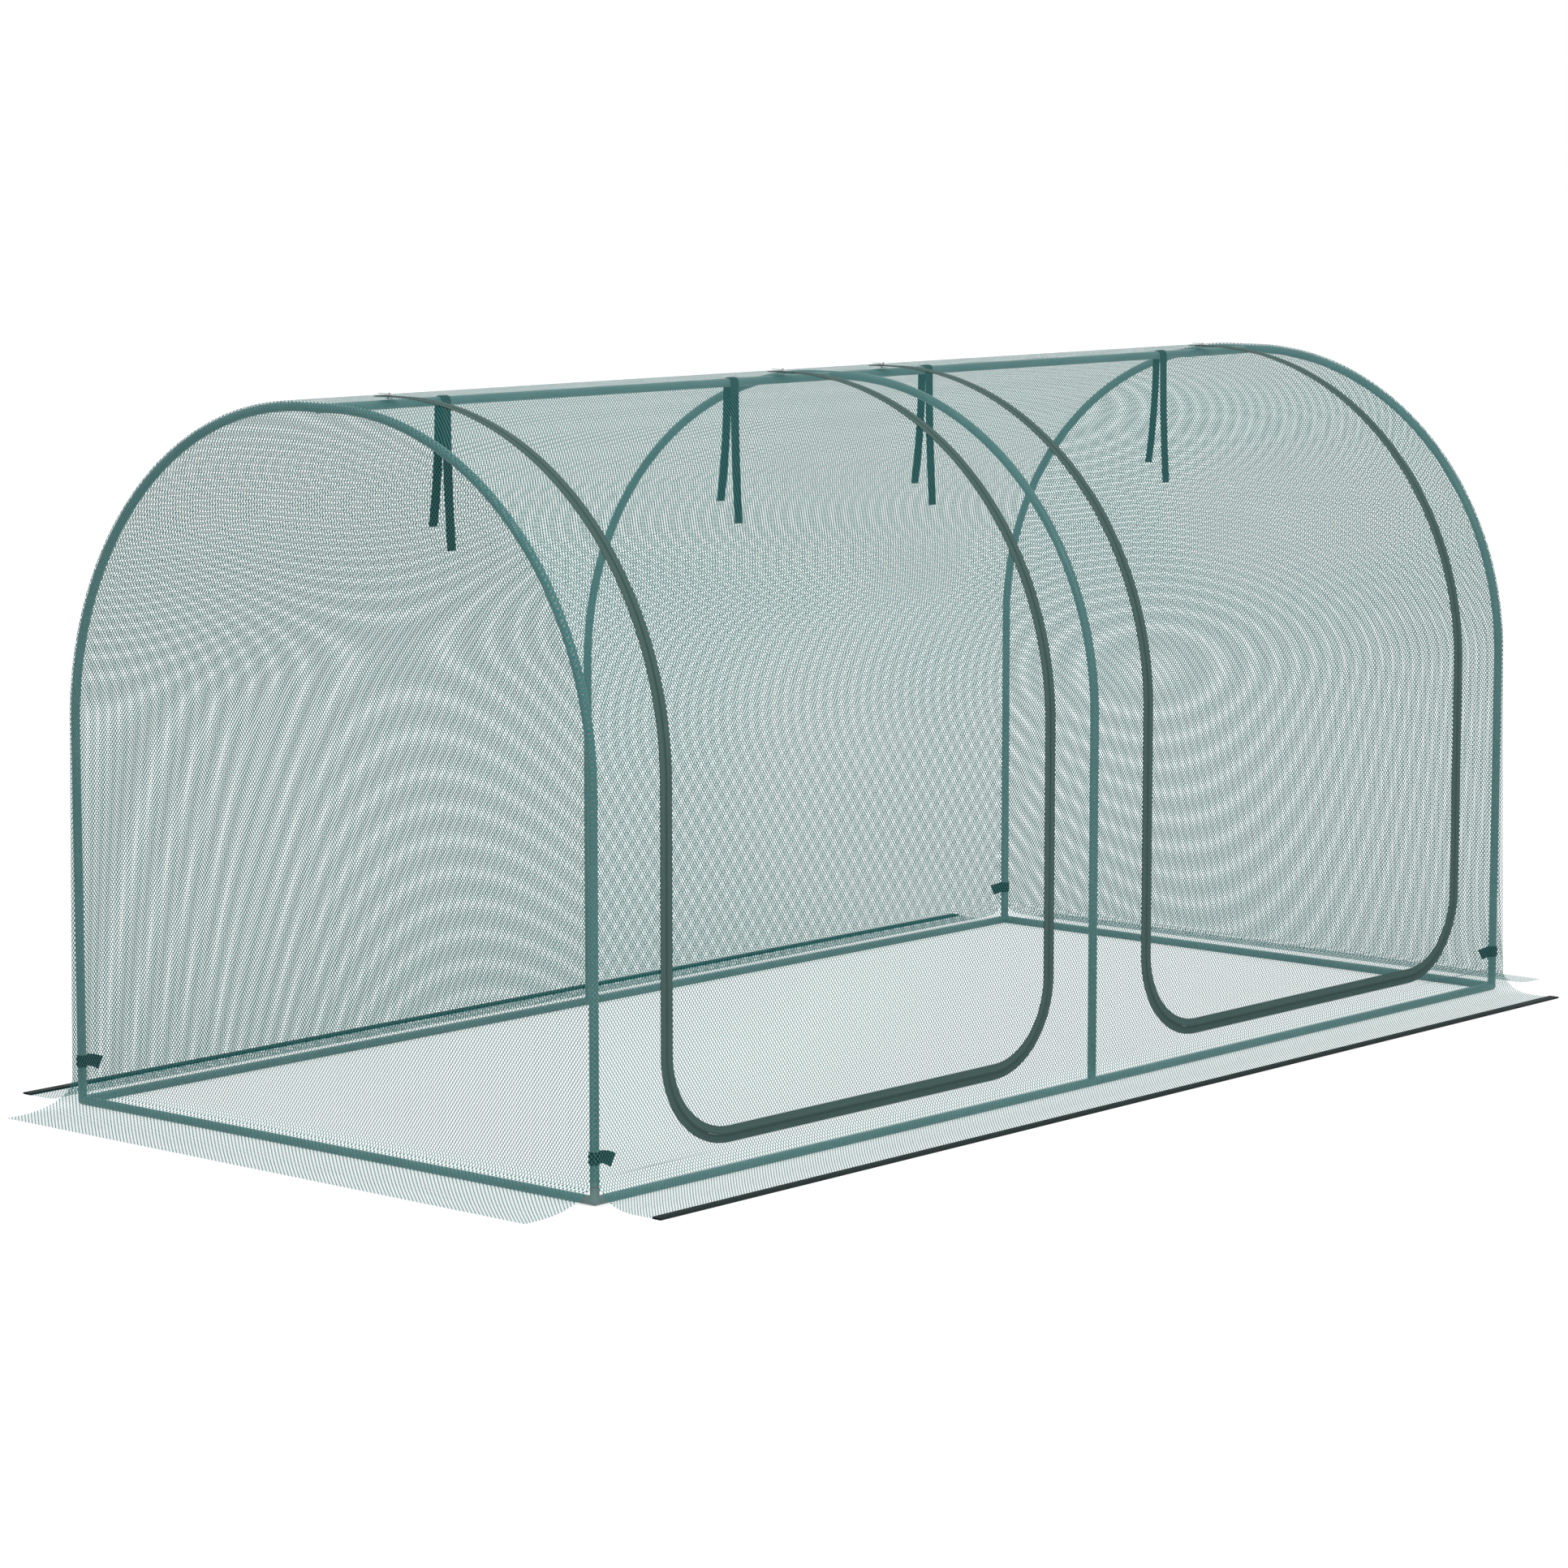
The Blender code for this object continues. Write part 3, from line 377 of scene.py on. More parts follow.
def woven(name, colour, lit, dark, pitch):
    """The shared start of every woven tape: a twill of ribs slanting both ways from the middle."""
    graph = Graph(name, 0.82)
    _, along, across = graph.uv()
    slant = graph.math("ADD", along, graph.math("ABSOLUTE", across))
    rib = graph.math("SINE", graph.times(slant, 2 * math.pi / pitch))
    thread = graph.math("SINE", graph.times(across, 2 * math.pi / (0.8 * pitch)))
    weave = graph.math("MULTIPLY_ADD", graph.times(rib, thread), 0.5, 0.5)
    tone = graph.tint(colour, weave, 0.55, lit)
    tone = graph.tint(tone, graph.step(graph.noise(700.0, 3.0), 0.5, 0.75), 0.3, dark)
    tone = graph.tint(tone, graph.step(graph.noise(16.0, 3.0), 0.45, 0.7), 0.2, lit)
    graph.set("Specular IOR Level", 0.2)
    return graph, along, across, weave, tone


def stitch_row(graph, along, across, line, pitch=0.0028, width=0.00045):
    """Where a row of lock stitches lies: short dashes along a line at that distance from the middle."""
    off = graph.math("ABSOLUTE", graph.math("SUBTRACT", graph.math("ABSOLUTE", across), line))
    near = graph.without(graph.step(off, width * 0.6, width))
    beat = graph.math("ABSOLUTE", graph.math("SINE", graph.times(along, math.pi / pitch)))
    return graph.times(near, graph.step(beat, 0.3, 0.5))


def zip_tape():
    """Woven tape with a moulded chain of small teeth along its inner edge, and a sewn outer edge."""
    graph, along, across, weave, tone = woven(
        "zip_tape_finish", linear(71, 97, 94), linear(80, 106, 102), linear(60, 83, 80), pitch=0.0016)
    reach = graph.math("ABSOLUTE", across)
    chain = graph.without(graph.step(reach, CHAIN_HALF_WIDTH - 0.0002, CHAIN_HALF_WIDTH + 0.0002))
    on_tooth = graph.step(graph.math("SINE", graph.times(along, 2 * math.pi / TOOTH_PITCH)), -0.35, 0.35)
    tooth = graph.times(chain, on_tooth)
    tone = graph.tint(tone, tooth, 0.7, linear(77, 103, 99))
    # Painted shade: the gaps between the teeth are darker than the tape.
    tone = graph.tint(tone, graph.times(chain, graph.without(on_tooth)), 0.6, linear(57, 79, 76))
    edge = graph.step(reach, TAPE_HALF_WIDTH - 0.0012, TAPE_HALF_WIDTH - CHAIN_EDGE)
    tone = graph.tint(tone, edge, 0.6, linear(61, 85, 82))
    rows = [stitch_row(graph, along, across, line) for line in (0.0062, 0.0098)]
    stitch = graph.math("MAXIMUM", *rows)
    graph.colour(graph.tint(tone, stitch, 0.6, linear(92, 118, 114)))
    height = graph.math("ADD", graph.times(weave, 0.25), graph.times(stitch, 0.8))
    graph.bump(graph.math("ADD", height, tooth), 0.0005, 0.8)
    return graph.material


def hem_tape():
    graph, along, across, weave, tone = woven(
        "hem_binding_finish", linear(24, 36, 35), linear(36, 50, 49), linear(16, 26, 25), pitch=0.0018)
    stitch = stitch_row(graph, along, across, line=0.007, pitch=0.0032, width=0.0008)
    graph.colour(graph.tint(tone, stitch, 0.8, linear(84, 106, 103)))
    graph.bump(graph.math("ADD", graph.times(weave, 0.4), stitch), 0.0004, 0.8)
    return graph.material


def webbing():
    """Coarse ribbed webbing with thicker selvedges and a stitch row beside each."""
    graph, along, across, weave, tone = woven(
        "webbing_finish", linear(44, 45, 45), linear(58, 60, 59), linear(30, 31, 31), pitch=0.0024)
    selvedge = graph.step(graph.math("ABSOLUTE", across), 0.0086, 0.0096)
    tone = graph.tint(tone, selvedge, 0.5, linear(38, 43, 42))
    stitch = stitch_row(graph, along, across, line=0.0078, pitch=0.003)
    graph.colour(graph.tint(tone, stitch, 0.55, linear(70, 84, 82)))
    height = graph.math("ADD", graph.times(weave, 0.6), graph.times(stitch, 0.5))
    graph.bump(graph.math("ADD", height, selvedge), 0.0005, 0.8)
    return graph.material


def plated_zinc():
    """Die-cast zinc with a bright plating: faint casting grain, brushed streaks and dulled rubs."""
    graph = Graph("plated_zinc_finish", 0.3, 0.95)
    streak = graph.noise(500.0, 3.0, (6, 0.7, 1))
    tone = graph.blend(graph.step(streak, 0.4, 0.65), linear(196, 200, 202), linear(222, 224, 224))
    dull = graph.step(graph.noise(220.0, 4.0), 0.55, 0.7)
    graph.colour(graph.tint(tone, dull, 0.4, linear(150, 156, 158)))
    graph.rough(streak, 0.2, 0.42)
    graph.bump(graph.noise(1500.0, 2.0), 0.00005, 0.5)
    return graph.material


# Mesh building

def spread(start, end, steps):
    """Evenly spaced values from start to end, one more than the steps."""
    return [start + (end - start) * k / steps for k in range(steps + 1)]


def add_to_scene(name, data, place=(0, 0, 0)):
    made = bpy.data.objects.new(name, data)
    made.location = place
    bpy.context.scene.collection.objects.link(made)
    return made


def new_piece(node, mesh, body, slot, smooth_angle=40):
    """The piece that rides on a body, stands for a CAD node and has the finish of its slot."""
    word, material = FINISHES[slot]
    mesh.name = f"{node}_{word}"
    mesh.materials.clear()
    mesh.materials.append(material)
    mesh.shade_smooth()
    mesh.set_sharp_from_angle(angle=math.radians(smooth_angle))
    piece = add_to_scene(f"{node}_{word}", mesh)
    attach(piece, body)
    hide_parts(node)
    return piece


def mesh_of(shape, turn_outward=True):
    if turn_outward:
        bmesh.ops.recalc_face_normals(shape, faces=shape.faces)
    mesh = bpy.data.meshes.new("shape")
    shape.to_mesh(mesh)
    shape.free()
    return mesh


def add_rings(shape, rings, closed_ends=True):
    """Skins rings of points that all have the same count."""
    made = [[shape.verts.new(point) for point in ring] for ring in rings]
    count = len(made[0])
    for first, second in zip(made, made[1:]):
        for k in range(count):
            shape.faces.new([first[k - 1], first[k], second[k], second[k - 1]])
    if closed_ends:
        shape.faces.new(made[0])
        shape.faces.new(made[-1][::-1])


def circle(centre, side, across, radius, sides=TUBE_SIDES):
    return [centre + radius * (math.cos(turn) * side + math.sin(turn) * across)
            for turn in spread(0, 2 * math.pi, sides)[:-1]]


def on_arch(x, distance, height):
    """A point on the arch: distance is positive to the front, and height is from the tube's axis."""
    reach = abs(distance)
    out_y = 0.0
    out_z = 1.0
    y = -min(reach, CROWN_HALF)
    z = APEX_Z
    if reach > CROWN_HALF:
        turn = min((reach - CROWN_HALF) / BEND_RADIUS, math.pi / 2)
        out_y = -math.sin(turn)
        out_z = math.cos(turn)
        y = -CROWN_HALF + BEND_RADIUS * out_y
        z = SPRING_Z + BEND_RADIUS * out_z - max(0.0, reach - BEND_END)
    side = -1.0 if distance < 0 else 1.0
    return Vector((x, side * (y + out_y * height), z + out_z * height))


def arch_distances(start, end, extra=()):
    """Distances from start to end, close together on the bends only."""
    grid = set(extra) | {0.0}
    steps = round(BEND_LENGTH / ARCH_STEP)
    for k in range(steps + 1):
        grid |= {CROWN_HALF + BEND_LENGTH * k / steps, -CROWN_HALF - BEND_LENGTH * k / steps}
    return [start] + sorted(d for d in grid if start + 1e-6 < d < end - 1e-6) + [end]


# Frame

def tube_piece(name, centres, sides, across):
    """A coated tube along a path, with its ends rolled in to the bore."""
    first = (centres[1] - centres[0]).normalized()
    last = (centres[-2] - centres[-1]).normalized()
    lip = [(TUBE_LIP, BORE_RADIUS), (0, BORE_RADIUS),
           (0, TUBE_RADIUS - TUBE_EDGE), (TUBE_EDGE, TUBE_RADIUS)]
    rings = [circle(centres[0] + first * inset, sides[0], across, radius) for inset, radius in lip]
    rings += [circle(centre, side, across, TUBE_RADIUS) for centre, side in zip(centres[1:-1], sides[1:-1])]
    rings += [circle(centres[-1] + last * inset, sides[-1], across, radius) for inset, radius in lip[::-1]]
    shape = bmesh.new()
    add_rings(shape, rings, closed_ends=False)
    return new_piece(name, mesh_of(shape), "cage", "green_powder_coat")


def hoop_tube(name, x, side):
    distances = arch_distances(CROWN_ARM + SEAT_GAP, FOOT_DISTANCE - RAIL_Z - FITTING_ARM - SEAT_GAP)
    centres = [on_arch(x, -side * d, 0.0) for d in distances]
    outer = [(on_arch(x, -side * d, 1.0) - centre).normalized() for d, centre in zip(distances, centres)]
    tube_piece(name, centres, outer, X_AXIS)


def rail(name, start, end):
    direction = (end - start).normalized()
    inset = direction * (FITTING_ARM + SEAT_GAP)
    centres = spread(start + inset, end - inset, RAIL_STEPS)
    tube_piece(name, centres, [Z_AXIS] * len(centres), direction.cross(Z_AXIS))


def add_arm(shape, centre, direction, length, spigot):
    """A fitting's arm: full size to its shoulder, where a rounded edge meets the tube, then the spigot."""
    side = Z_AXIS if abs(direction.z) < 0.5 else X_AXIS
    across = direction.cross(side)
    bore_fit = BORE_RADIUS - SEAT_GAP
    profile = [(0, TUBE_RADIUS), (length / 2, TUBE_RADIUS), (length - TUBE_EDGE, TUBE_RADIUS),
               (length, TUBE_RADIUS - TUBE_EDGE), (length, bore_fit), (length + spigot, bore_fit)]
    add_rings(shape, [circle(centre + direction * d, side, across, r) for d, r in profile])


def arms(centre, directions, length=FITTING_ARM, spigot=SPIGOT_LENGTH):
    return [(centre, direction, length, spigot) for direction in directions]


def add_weld(shape, centre, first, second):
    """A rippled weld bead on the seam where two arms of the same size meet."""
    third = first.cross(second)
    rings = []
    for k, turn in enumerate(spread(-math.pi / 2, math.pi / 2, WELD_STEPS)):
        reach = math.cos(turn) * (first + second) + math.sin(turn) * third
        ahead = (-math.sin(turn) * (first + second) + math.cos(turn) * third).normalized()
        across = ahead.cross(reach.normalized())
        radius = WELD_BEAD * (1 - WELD_RIPPLE * (1 - k % 2))
        point = centre + (HUB_RADIUS - WELD_BEAD) * reach
        rings.append(circle(point, across.cross(ahead), across, radius, WELD_SIDES))
    add_rings(shape, rings)


def fitting_piece(name, centre, all_arms, seams):
    shape = bmesh.new()
    ball = bmesh.ops.create_uvsphere(
        shape, u_segments=HUB_STEPS, v_segments=HUB_STEPS // 2, radius=TUBE_RADIUS)
    bmesh.ops.translate(shape, verts=ball["verts"], vec=centre)
    for arm in all_arms:
        add_arm(shape, *arm)
    for first, second in seams:
        add_weld(shape, centre, first, second)
    new_piece(name, mesh_of(shape), "cage", "green_powder_coat")


def build_frame():
    crown_spigot = CROWN_HALF - CROWN_ARM - SEAT_GAP
    for hoop, x in HOOPS.items():
        for side_name, side in SIDES.items():
            hoop_tube(f"{hoop}_{side_name}_hoop_tube", x, side)
        apex = Vector((x, 0, APEX_Z))
        inward = [X_AXIS, -X_AXIS] if x == 0 else [X_AXIS * math.copysign(1, -x)]
        all_arms = arms(apex, (Y_AXIS, -Y_AXIS), CROWN_ARM, crown_spigot)
        all_arms += arms(Vector((x, 0, RIDGE_Z)), inward)
        seams = [(direction, y) for direction in inward for y in (Y_AXIS, -Y_AXIS)]
        fitting_piece(f"{hoop}_crown_fitting", apex, all_arms, seams)
    for side_name, side in SIDES.items():
        y = side * LEG_Y
        middle = Vector((0, y, RAIL_Z))
        fitting_piece(f"{side_name}_foot_fitting", middle, arms(middle, (X_AXIS, -X_AXIS, Z_AXIS)),
                      [(X_AXIS, Z_AXIS), (-X_AXIS, Z_AXIS)])
        for end_name, end in ENDS.items():
            corner = Vector((end * HOOP_X, y, RAIL_Z))
            rail(f"{side_name}_{end_name}_rail", corner, middle)
            inward_x = X_AXIS * -end
            inward_y = Y_AXIS * -side
            seams = [(inward_x, inward_y), (inward_x, Z_AXIS), (inward_y, Z_AXIS)]
            fitting_piece(f"{side_name}_{end_name}_corner_fitting", corner,
                          arms(corner, (inward_x, inward_y, Z_AXIS)), seams)
    for end_name, end in ENDS.items():
        x = end * HOOP_X
        rail(f"{end_name}_end_rail", Vector((x, -LEG_Y, RAIL_Z)), Vector((x, LEG_Y, RAIL_Z)))
        rail(f"{end_name}_ridge_tube", Vector((x, 0, RIDGE_Z)), Vector((0, 0, RIDGE_Z)))


# Net cover

def map_by_side(mesh, scale=(1.0, 1.0)):
    """Lays the net's pattern straight on each face from the side it faces, in metres."""
    layer = mesh.uv_layers.new(name="UVMap")
    for face in mesh.polygons:
        reach = [abs(value) for value in face.normal]
        axis = reach.index(max(reach))
        first, second = ((1, 2), (0, 2), (0, 1))[axis]
        stretch = scale if axis == 2 else (1.0, 1.0)
        for loop in face.loop_indices:
            place = mesh.vertices[mesh.loops[loop].vertex_index].co
            layer.data[loop].uv = (place[first] * stretch[0], place[second] * stretch[1])


def turn_columns(end):
    """Widths along the net from an end hoop's middle to where the arch's share of the turn ends."""
    return [end * (HOOP_X + TURN_LENGTH * k / TURN_COLUMNS) for k in range(TURN_COLUMNS + 1)]


def on_cover(x, distance):
    """A point of the cover on the arch. Past the end hoops, x runs on round their tubes."""
    turn = max(0.0, abs(x) - HOOP_X) / NET_MIDDLE
    if turn > 0:
        x = math.copysign(HOOP_X + NET_MIDDLE * math.sin(turn), x)
    return on_arch(x, distance, NET_MIDDLE * math.cos(turn))


def grid_mesh(rows, keep=lambda row, column: True):
    """A cloth from rows of points, with the cells that keep(row, column) allows."""
    shape = bmesh.new()
    points = {}

    def vertex(row, column):
        if (row, column) not in points:
            points[row, column] = shape.verts.new(rows[row][column])
        return points[row, column]
    for row in range(len(rows) - 1):
        for column in range(len(rows[0]) - 1):
            if keep(row, column):
                shape.faces.new([vertex(row, column), vertex(row, column + 1),
                                 vertex(row + 1, column + 1), vertex(row + 1, column)])
    return mesh_of(shape, turn_outward=False)


def hung(point):
    """Near the ground the loose cover stands a little off the frame, from further up at the right end.

    In front it does so only beside the corner legs, because the zips hold the rest.
    """
    inner = Vector((max(-HOOP_X, min(HOOP_X, point.x)), max(-LEG_Y, min(LEG_Y, point.y)), point.z))
    if point.z >= HANG_HEIGHT or point == inner:
        return point
    fall = HANG_FALL - HANG_FALL_LEAN * inner.x / HOOP_X
    reach = HANG_REACH * (1 - point.z / HANG_HEIGHT) ** fall * min(1.0, point.z / SKIRT_SEAM_Z)
    if point.y < -LEG_Y:
        share = max(0.0, min(1.0, 1 - (HOOP_X - abs(point.x)) / HANG_FROM_LEG))
        reach *= share * share * (3 - 2 * share)
    return point + (point - inner).normalized() * reach


def net_piece(name, mesh, body, scale=(1.0, 1.0)):
    """A panel of net. What this returns takes the pieces sewn to it and gives back the panel."""
    if body == "cage":
        for vertex in mesh.vertices:
            vertex.co = hung(vertex.co)
    map_by_side(mesh, scale)
    piece = new_piece(name, mesh, body, "knitted_net", 60)
    return lambda with_pieces: (piece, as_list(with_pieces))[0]


def corner_rows(offset):
    """(distance, inset from the door's side) down a rounded door corner, offset from the zip line."""
    radius = ZIP_CORNER_RADIUS + offset
    return [(ZIP_CORNER_START + radius * math.sin(angle), ZIP_CORNER_RADIUS - radius * math.cos(angle))
            for angle in spread(0, math.pi / 2, CORNER_STEPS)]


def roof_net():
    zip_lines = [x for door in DOORS.values() for x in door]
    edges = turn_columns(-1)[::-1]
    for x in zip_lines:
        edges += [x - NET_TO_ZIP_LINE, x + NET_TO_ZIP_LINE]
    edges += turn_columns(1)
    slot_start = -(ZIP_TOP_OVERRUN + NET_TO_ZIP_LINE)
    distances = arch_distances(-SEAM_DISTANCE, SEAM_DISTANCE, [slot_start, HINGE_DISTANCE])

    def keep(row, column):
        middle = (distances[row] + distances[row + 1]) / 2
        if column - TURN_COLUMNS in (1, 3, 5, 7):
            return middle < slot_start
        if column - TURN_COLUMNS in (2, 6):
            return middle < HINGE_DISTANCE
        return True
    rows = [[on_cover(x, d) for x in edges] for d in distances]
    return net_piece("roof_net", grid_mesh(rows, keep), "cage")


def front_net():
    straight = arch_distances(SEAM_DISTANCE, ZIP_CORNER_START)
    rows = []
    for distance, inset in [(d, -NET_TO_ZIP_LINE) for d in straight[:-1]] + corner_rows(NET_TO_ZIP_LINE):
        edges = turn_columns(-1)[::-1]
        for left, right in DOORS.values():
            edges += [left + inset, right - inset]
        edges += turn_columns(1)
        rows.append([on_cover(x, distance) for x in edges])
    open_rows = len(rows) - 1
    rows.append([Vector((point.x, point.y, SKIRT_SEAM_Z)) for point in rows[-1]])

    def keep(row, column):
        return row >= open_rows or column - TURN_COLUMNS not in (1, 3)
    mesh = grid_mesh(rows, keep)
    return net_piece("front_net", mesh, "cage")


def back_net():
    foot = FOOT_DISTANCE - SKIRT_SEAM_Z
    edges = turn_columns(-1)[:0:-1] + spread(-HOOP_X, HOOP_X, BACK_COLUMNS) + turn_columns(1)[1:]
    rows = [[on_cover(x, d) for x in edges] for d in arch_distances(-foot, -SEAM_DISTANCE)]
    return net_piece("back_net", grid_mesh(rows), "cage")


def end_net(end_name, side):
    foot = FOOT_DISTANCE - SKIRT_SEAM_Z
    turns = spread(HALF_TURN, 2 * HALF_TURN, TURN_COLUMNS)[:-1]
    rows = []
    for d in [d for d in arch_distances(-foot, foot) if d <= 0]:
        rim = [on_arch(side * (HOOP_X + NET_MIDDLE * math.sin(turn)), d, NET_MIDDLE * math.cos(turn))
               for turn in turns]
        inner = on_arch(side * (HOOP_X + NET_MIDDLE), d, 0.0)
        rim_back = [Vector((point.x, -point.y, point.z)) for point in rim[::-1]]
        flat_part = [Vector((inner.x, y, inner.z)) for y in spread(inner.y, -inner.y, END_COLUMNS)]
        rows.append(rim + flat_part + rim_back)

    def keep(row, column):
        return row < len(rows) - 2 or not TURN_COLUMNS <= column < TURN_COLUMNS + END_COLUMNS
    return net_piece(f"{end_name}_end_net", grid_mesh(rows, keep), "cage")


def door_net(door, left, right):
    straight = arch_distances(HINGE_DISTANCE + SEAT_GAP, ZIP_CORNER_START)
    rows = []
    for distance, inset in [(d, NET_TO_ZIP_LINE) for d in straight[:-1]] + corner_rows(-NET_TO_ZIP_LINE):
        columns = spread(left + inset, right - inset, DOOR_COLUMNS)
        rows.append([on_arch(x, distance, NET_MIDDLE) for x in columns])
    return net_piece(f"{door}_net", grid_mesh(rows), door)


def skirt(name, half_wall, half_hem, wall, ground, place, scale):
    """A net skirt: it leaves the wall at the seam, bends out to the ground and runs on to its hem.

    ground lists the (distance out, height) points of the part that lies down, the hem last.
    """
    middle = NET_THICKNESS / 2
    flare_reach = ground[0][0] - wall
    flare_height = SKIRT_SEAM_Z - middle
    hem = ground[-1][0]
    profile = [(wall + flare_reach * (1 - math.cos(angle)), middle + flare_height * (1 - math.sin(angle)))
               for angle in spread(0, math.pi / 2, FLARE_STEPS)[:-1]]
    profile += [(out, z + middle) for out, z in ground]
    turns = spread(0, HALF_TURN, TURN_COLUMNS)[1:]
    rows = []
    for out, z in profile:
        share = (out - wall) / (hem - wall)
        straight = half_wall + (half_hem - half_wall - NET_MIDDLE * math.sin(HALF_TURN)) * share
        row = [place(along, out, z) for along in spread(-straight, straight, SKIRT_COLUMNS)]
        for turn in turns:
            across = straight + NET_MIDDLE * math.sin(turn)
            drawn_in = NET_MIDDLE * (1 - math.cos(turn)) * (1 - share)
            row.append(place(across, out - drawn_in, z))
            row.insert(0, place(-across, out - drawn_in, z))
        rows.append(row)
    length = sum(math.dist(first, second) for first, second in zip(profile, profile[1:]))
    return net_piece(name, grid_mesh(rows), "cage", scale)


def side_skirt(side_name, side):
    """It rises a little at the binding, which folds under its hem."""
    reach = WIDTH / 2 + SIDE_SKIRT_REACH - SEAT_GAP
    hem = reach - BINDING_THICKNESS
    binding_edge = reach - BINDING_WIDTH
    level_end = binding_edge - HEM_RISE_LENGTH
    ground = [(level_end - SIDE_SKIRT_LEVEL, 0), (level_end, 0), (binding_edge, HEM_LIFT), (hem, HEM_LIFT)]
    return skirt(f"{side_name}_skirt", HOOP_X, LENGTH / 2, LEG_Y + NET_MIDDLE, ground,
                 lambda across, out, z: Vector((across, side * out, z)), SIDE_SKIRT_MESH)


def end_skirt(end_name, side):
    hem = LENGTH / 2 + END_SKIRT_REACH
    ground = [(hem - END_SKIRT_LEVEL, 0), (hem, 0)]
    return skirt(f"{end_name}_skirt", LEG_Y, WIDTH / 2, HOOP_X + NET_MIDDLE, ground,
                 lambda across, out, z: Vector((side * out, across, z)), END_SKIRT_MESH)


# Ribbons: the zips, the bindings and the webbing

def running_lengths(points):
    """How far along a line each of its points lies."""
    lengths = [0.0]
    for before, after in zip(points, points[1:]):
        lengths.append(lengths[-1] + (after - before).length)
    return lengths


def add_sides(shape, layer, rings, lengths, section):
    """Skins rings of vertices. The UV map gives the distance along them and the offset across."""
    for row in range(len(rings) - 1):
        for k in range(len(section)):
            corners = [(row, k - 1), (row, k), (row + 1, k), (row + 1, k - 1)]
            face = shape.faces.new([rings[i][j] for i, j in corners])
            for loop, (i, j) in zip(face.loops, corners):
                loop[layer].uv = (lengths[i], section[j][0])


def ribbon_mesh(stations, section, place, shifted=lambda offset, b: offset):
    """Sweeps a closed section of (offset, height) points along stations of (a, b, normal a, normal b).

    shifted may move an offset at some stations.
    """
    shape = bmesh.new()
    layer = shape.loops.layers.uv.new("UVMap")
    rings = []
    for a, b, normal_a, normal_b in stations:
        offsets = [(shifted(offset, b), height) for offset, height in section]
        rings.append([shape.verts.new(place(a + normal_a * offset, b + normal_b * offset, height))
                      for offset, height in offsets])
    lengths = running_lengths([place(a, b, section[0][1]) for a, b, _, _ in stations])
    add_sides(shape, layer, rings, lengths, section)
    for ring, length in ((rings[0], lengths[0]), (rings[-1][::-1], lengths[-1])):
        for loop in shape.faces.new(ring).loops:
            loop[layer].uv = (length, 0.0)
    return mesh_of(shape)


def zip_stations(left, right, start):
    """The zip line from its left top, round the two bottom corners, to its right top."""
    down = arch_distances(start, ZIP_CORNER_START)
    stations = [(left, d, -1.0, 0.0) for d in down[:-1]]
    turns = spread(0, math.pi / 2, CORNER_STEPS)
    for centre, sign, angles in ((left + ZIP_CORNER_RADIUS, -1.0, turns),
                                 (right - ZIP_CORNER_RADIUS, 1.0, turns[::-1])):
        for angle in angles:
            across = sign * math.cos(angle)
            along = math.sin(angle)
            distance = ZIP_CORNER_START + ZIP_CORNER_RADIUS * along
            stations.append((centre + ZIP_CORNER_RADIUS * across, distance, across, along))
    return stations + [(right, d, 1.0, 0.0) for d in reversed(down[:-1])]


def chain_offset(offset, distance):
    """The chain leaves room for a slider's post as far as a slider travels, and is closed below that."""
    if distance <= FOOT_DISTANCE - SPRING_Z or abs(offset) > CHAIN_HALF_SLOT + CHAIN_EDGE:
        return offset
    return math.copysign(abs(offset) - CHAIN_HALF_SLOT + CHAIN_CLOSED_GAP, offset)


def tape_section(sign):
    """Half a zip: a thin tape with soft edges, and the rounded half of the chain along its inner edge."""
    middle = (TAPE_INSIDE + TAPE_OUTSIDE) / 2
    edge = CHAIN_EDGE
    points = [
        (CHAIN_HALF_SLOT, CHAIN_INSIDE + edge), (CHAIN_HALF_SLOT + edge, CHAIN_INSIDE),
        (CHAIN_CREST, CHAIN_INSIDE + edge), (CHAIN_HALF_WIDTH, TAPE_INSIDE),
        (TAPE_HALF_WIDTH - edge, TAPE_INSIDE), (TAPE_HALF_WIDTH, middle),
        (TAPE_HALF_WIDTH - edge, TAPE_OUTSIDE), (CHAIN_HALF_WIDTH, TAPE_OUTSIDE),
        (CHAIN_CREST, CHAIN_OUTSIDE - edge),
        (CHAIN_HALF_SLOT + edge, CHAIN_OUTSIDE), (CHAIN_HALF_SLOT, CHAIN_OUTSIDE - edge),
    ]
    return [(sign * offset, height) for offset, height in points]


def frame_zip_tape(door, left, right):
    """The half that stays on the cover. It folds round each top end of the zip, above the hinge line."""
    top = -ZIP_TOP_OVERRUN
    stub = arch_distances(top, HINGE_DISTANCE - SEAT_GAP)[::-1]
    left_fold = [(left, d, 1.0, 0.0) for d in stub[:-1]]
    left_fold += [(left, top, math.cos(turn), -math.sin(turn))
                  for turn in spread(0, math.pi, CORNER_STEPS)[:-1]]
    right_fold = [(right, distance, -across, along) for _, distance, across, along in left_fold[::-1]]
    stations = left_fold + zip_stations(left, right, top) + right_fold
    mesh = ribbon_mesh(stations, tape_section(1), on_arch, chain_offset)
    return new_piece(f"{door}_frame_zip_tape", mesh, "cage", "zip_tape")


def door_zip_tape(door, left, right):
    """The half that lifts with the door."""
    stations = zip_stations(left, right, HINGE_DISTANCE + TAPE_TO_HINGE)
    mesh = ribbon_mesh(stations, tape_section(-1), on_arch, chain_offset)
    return new_piece(f"{door}_zip_tape", mesh, door, "zip_tape")


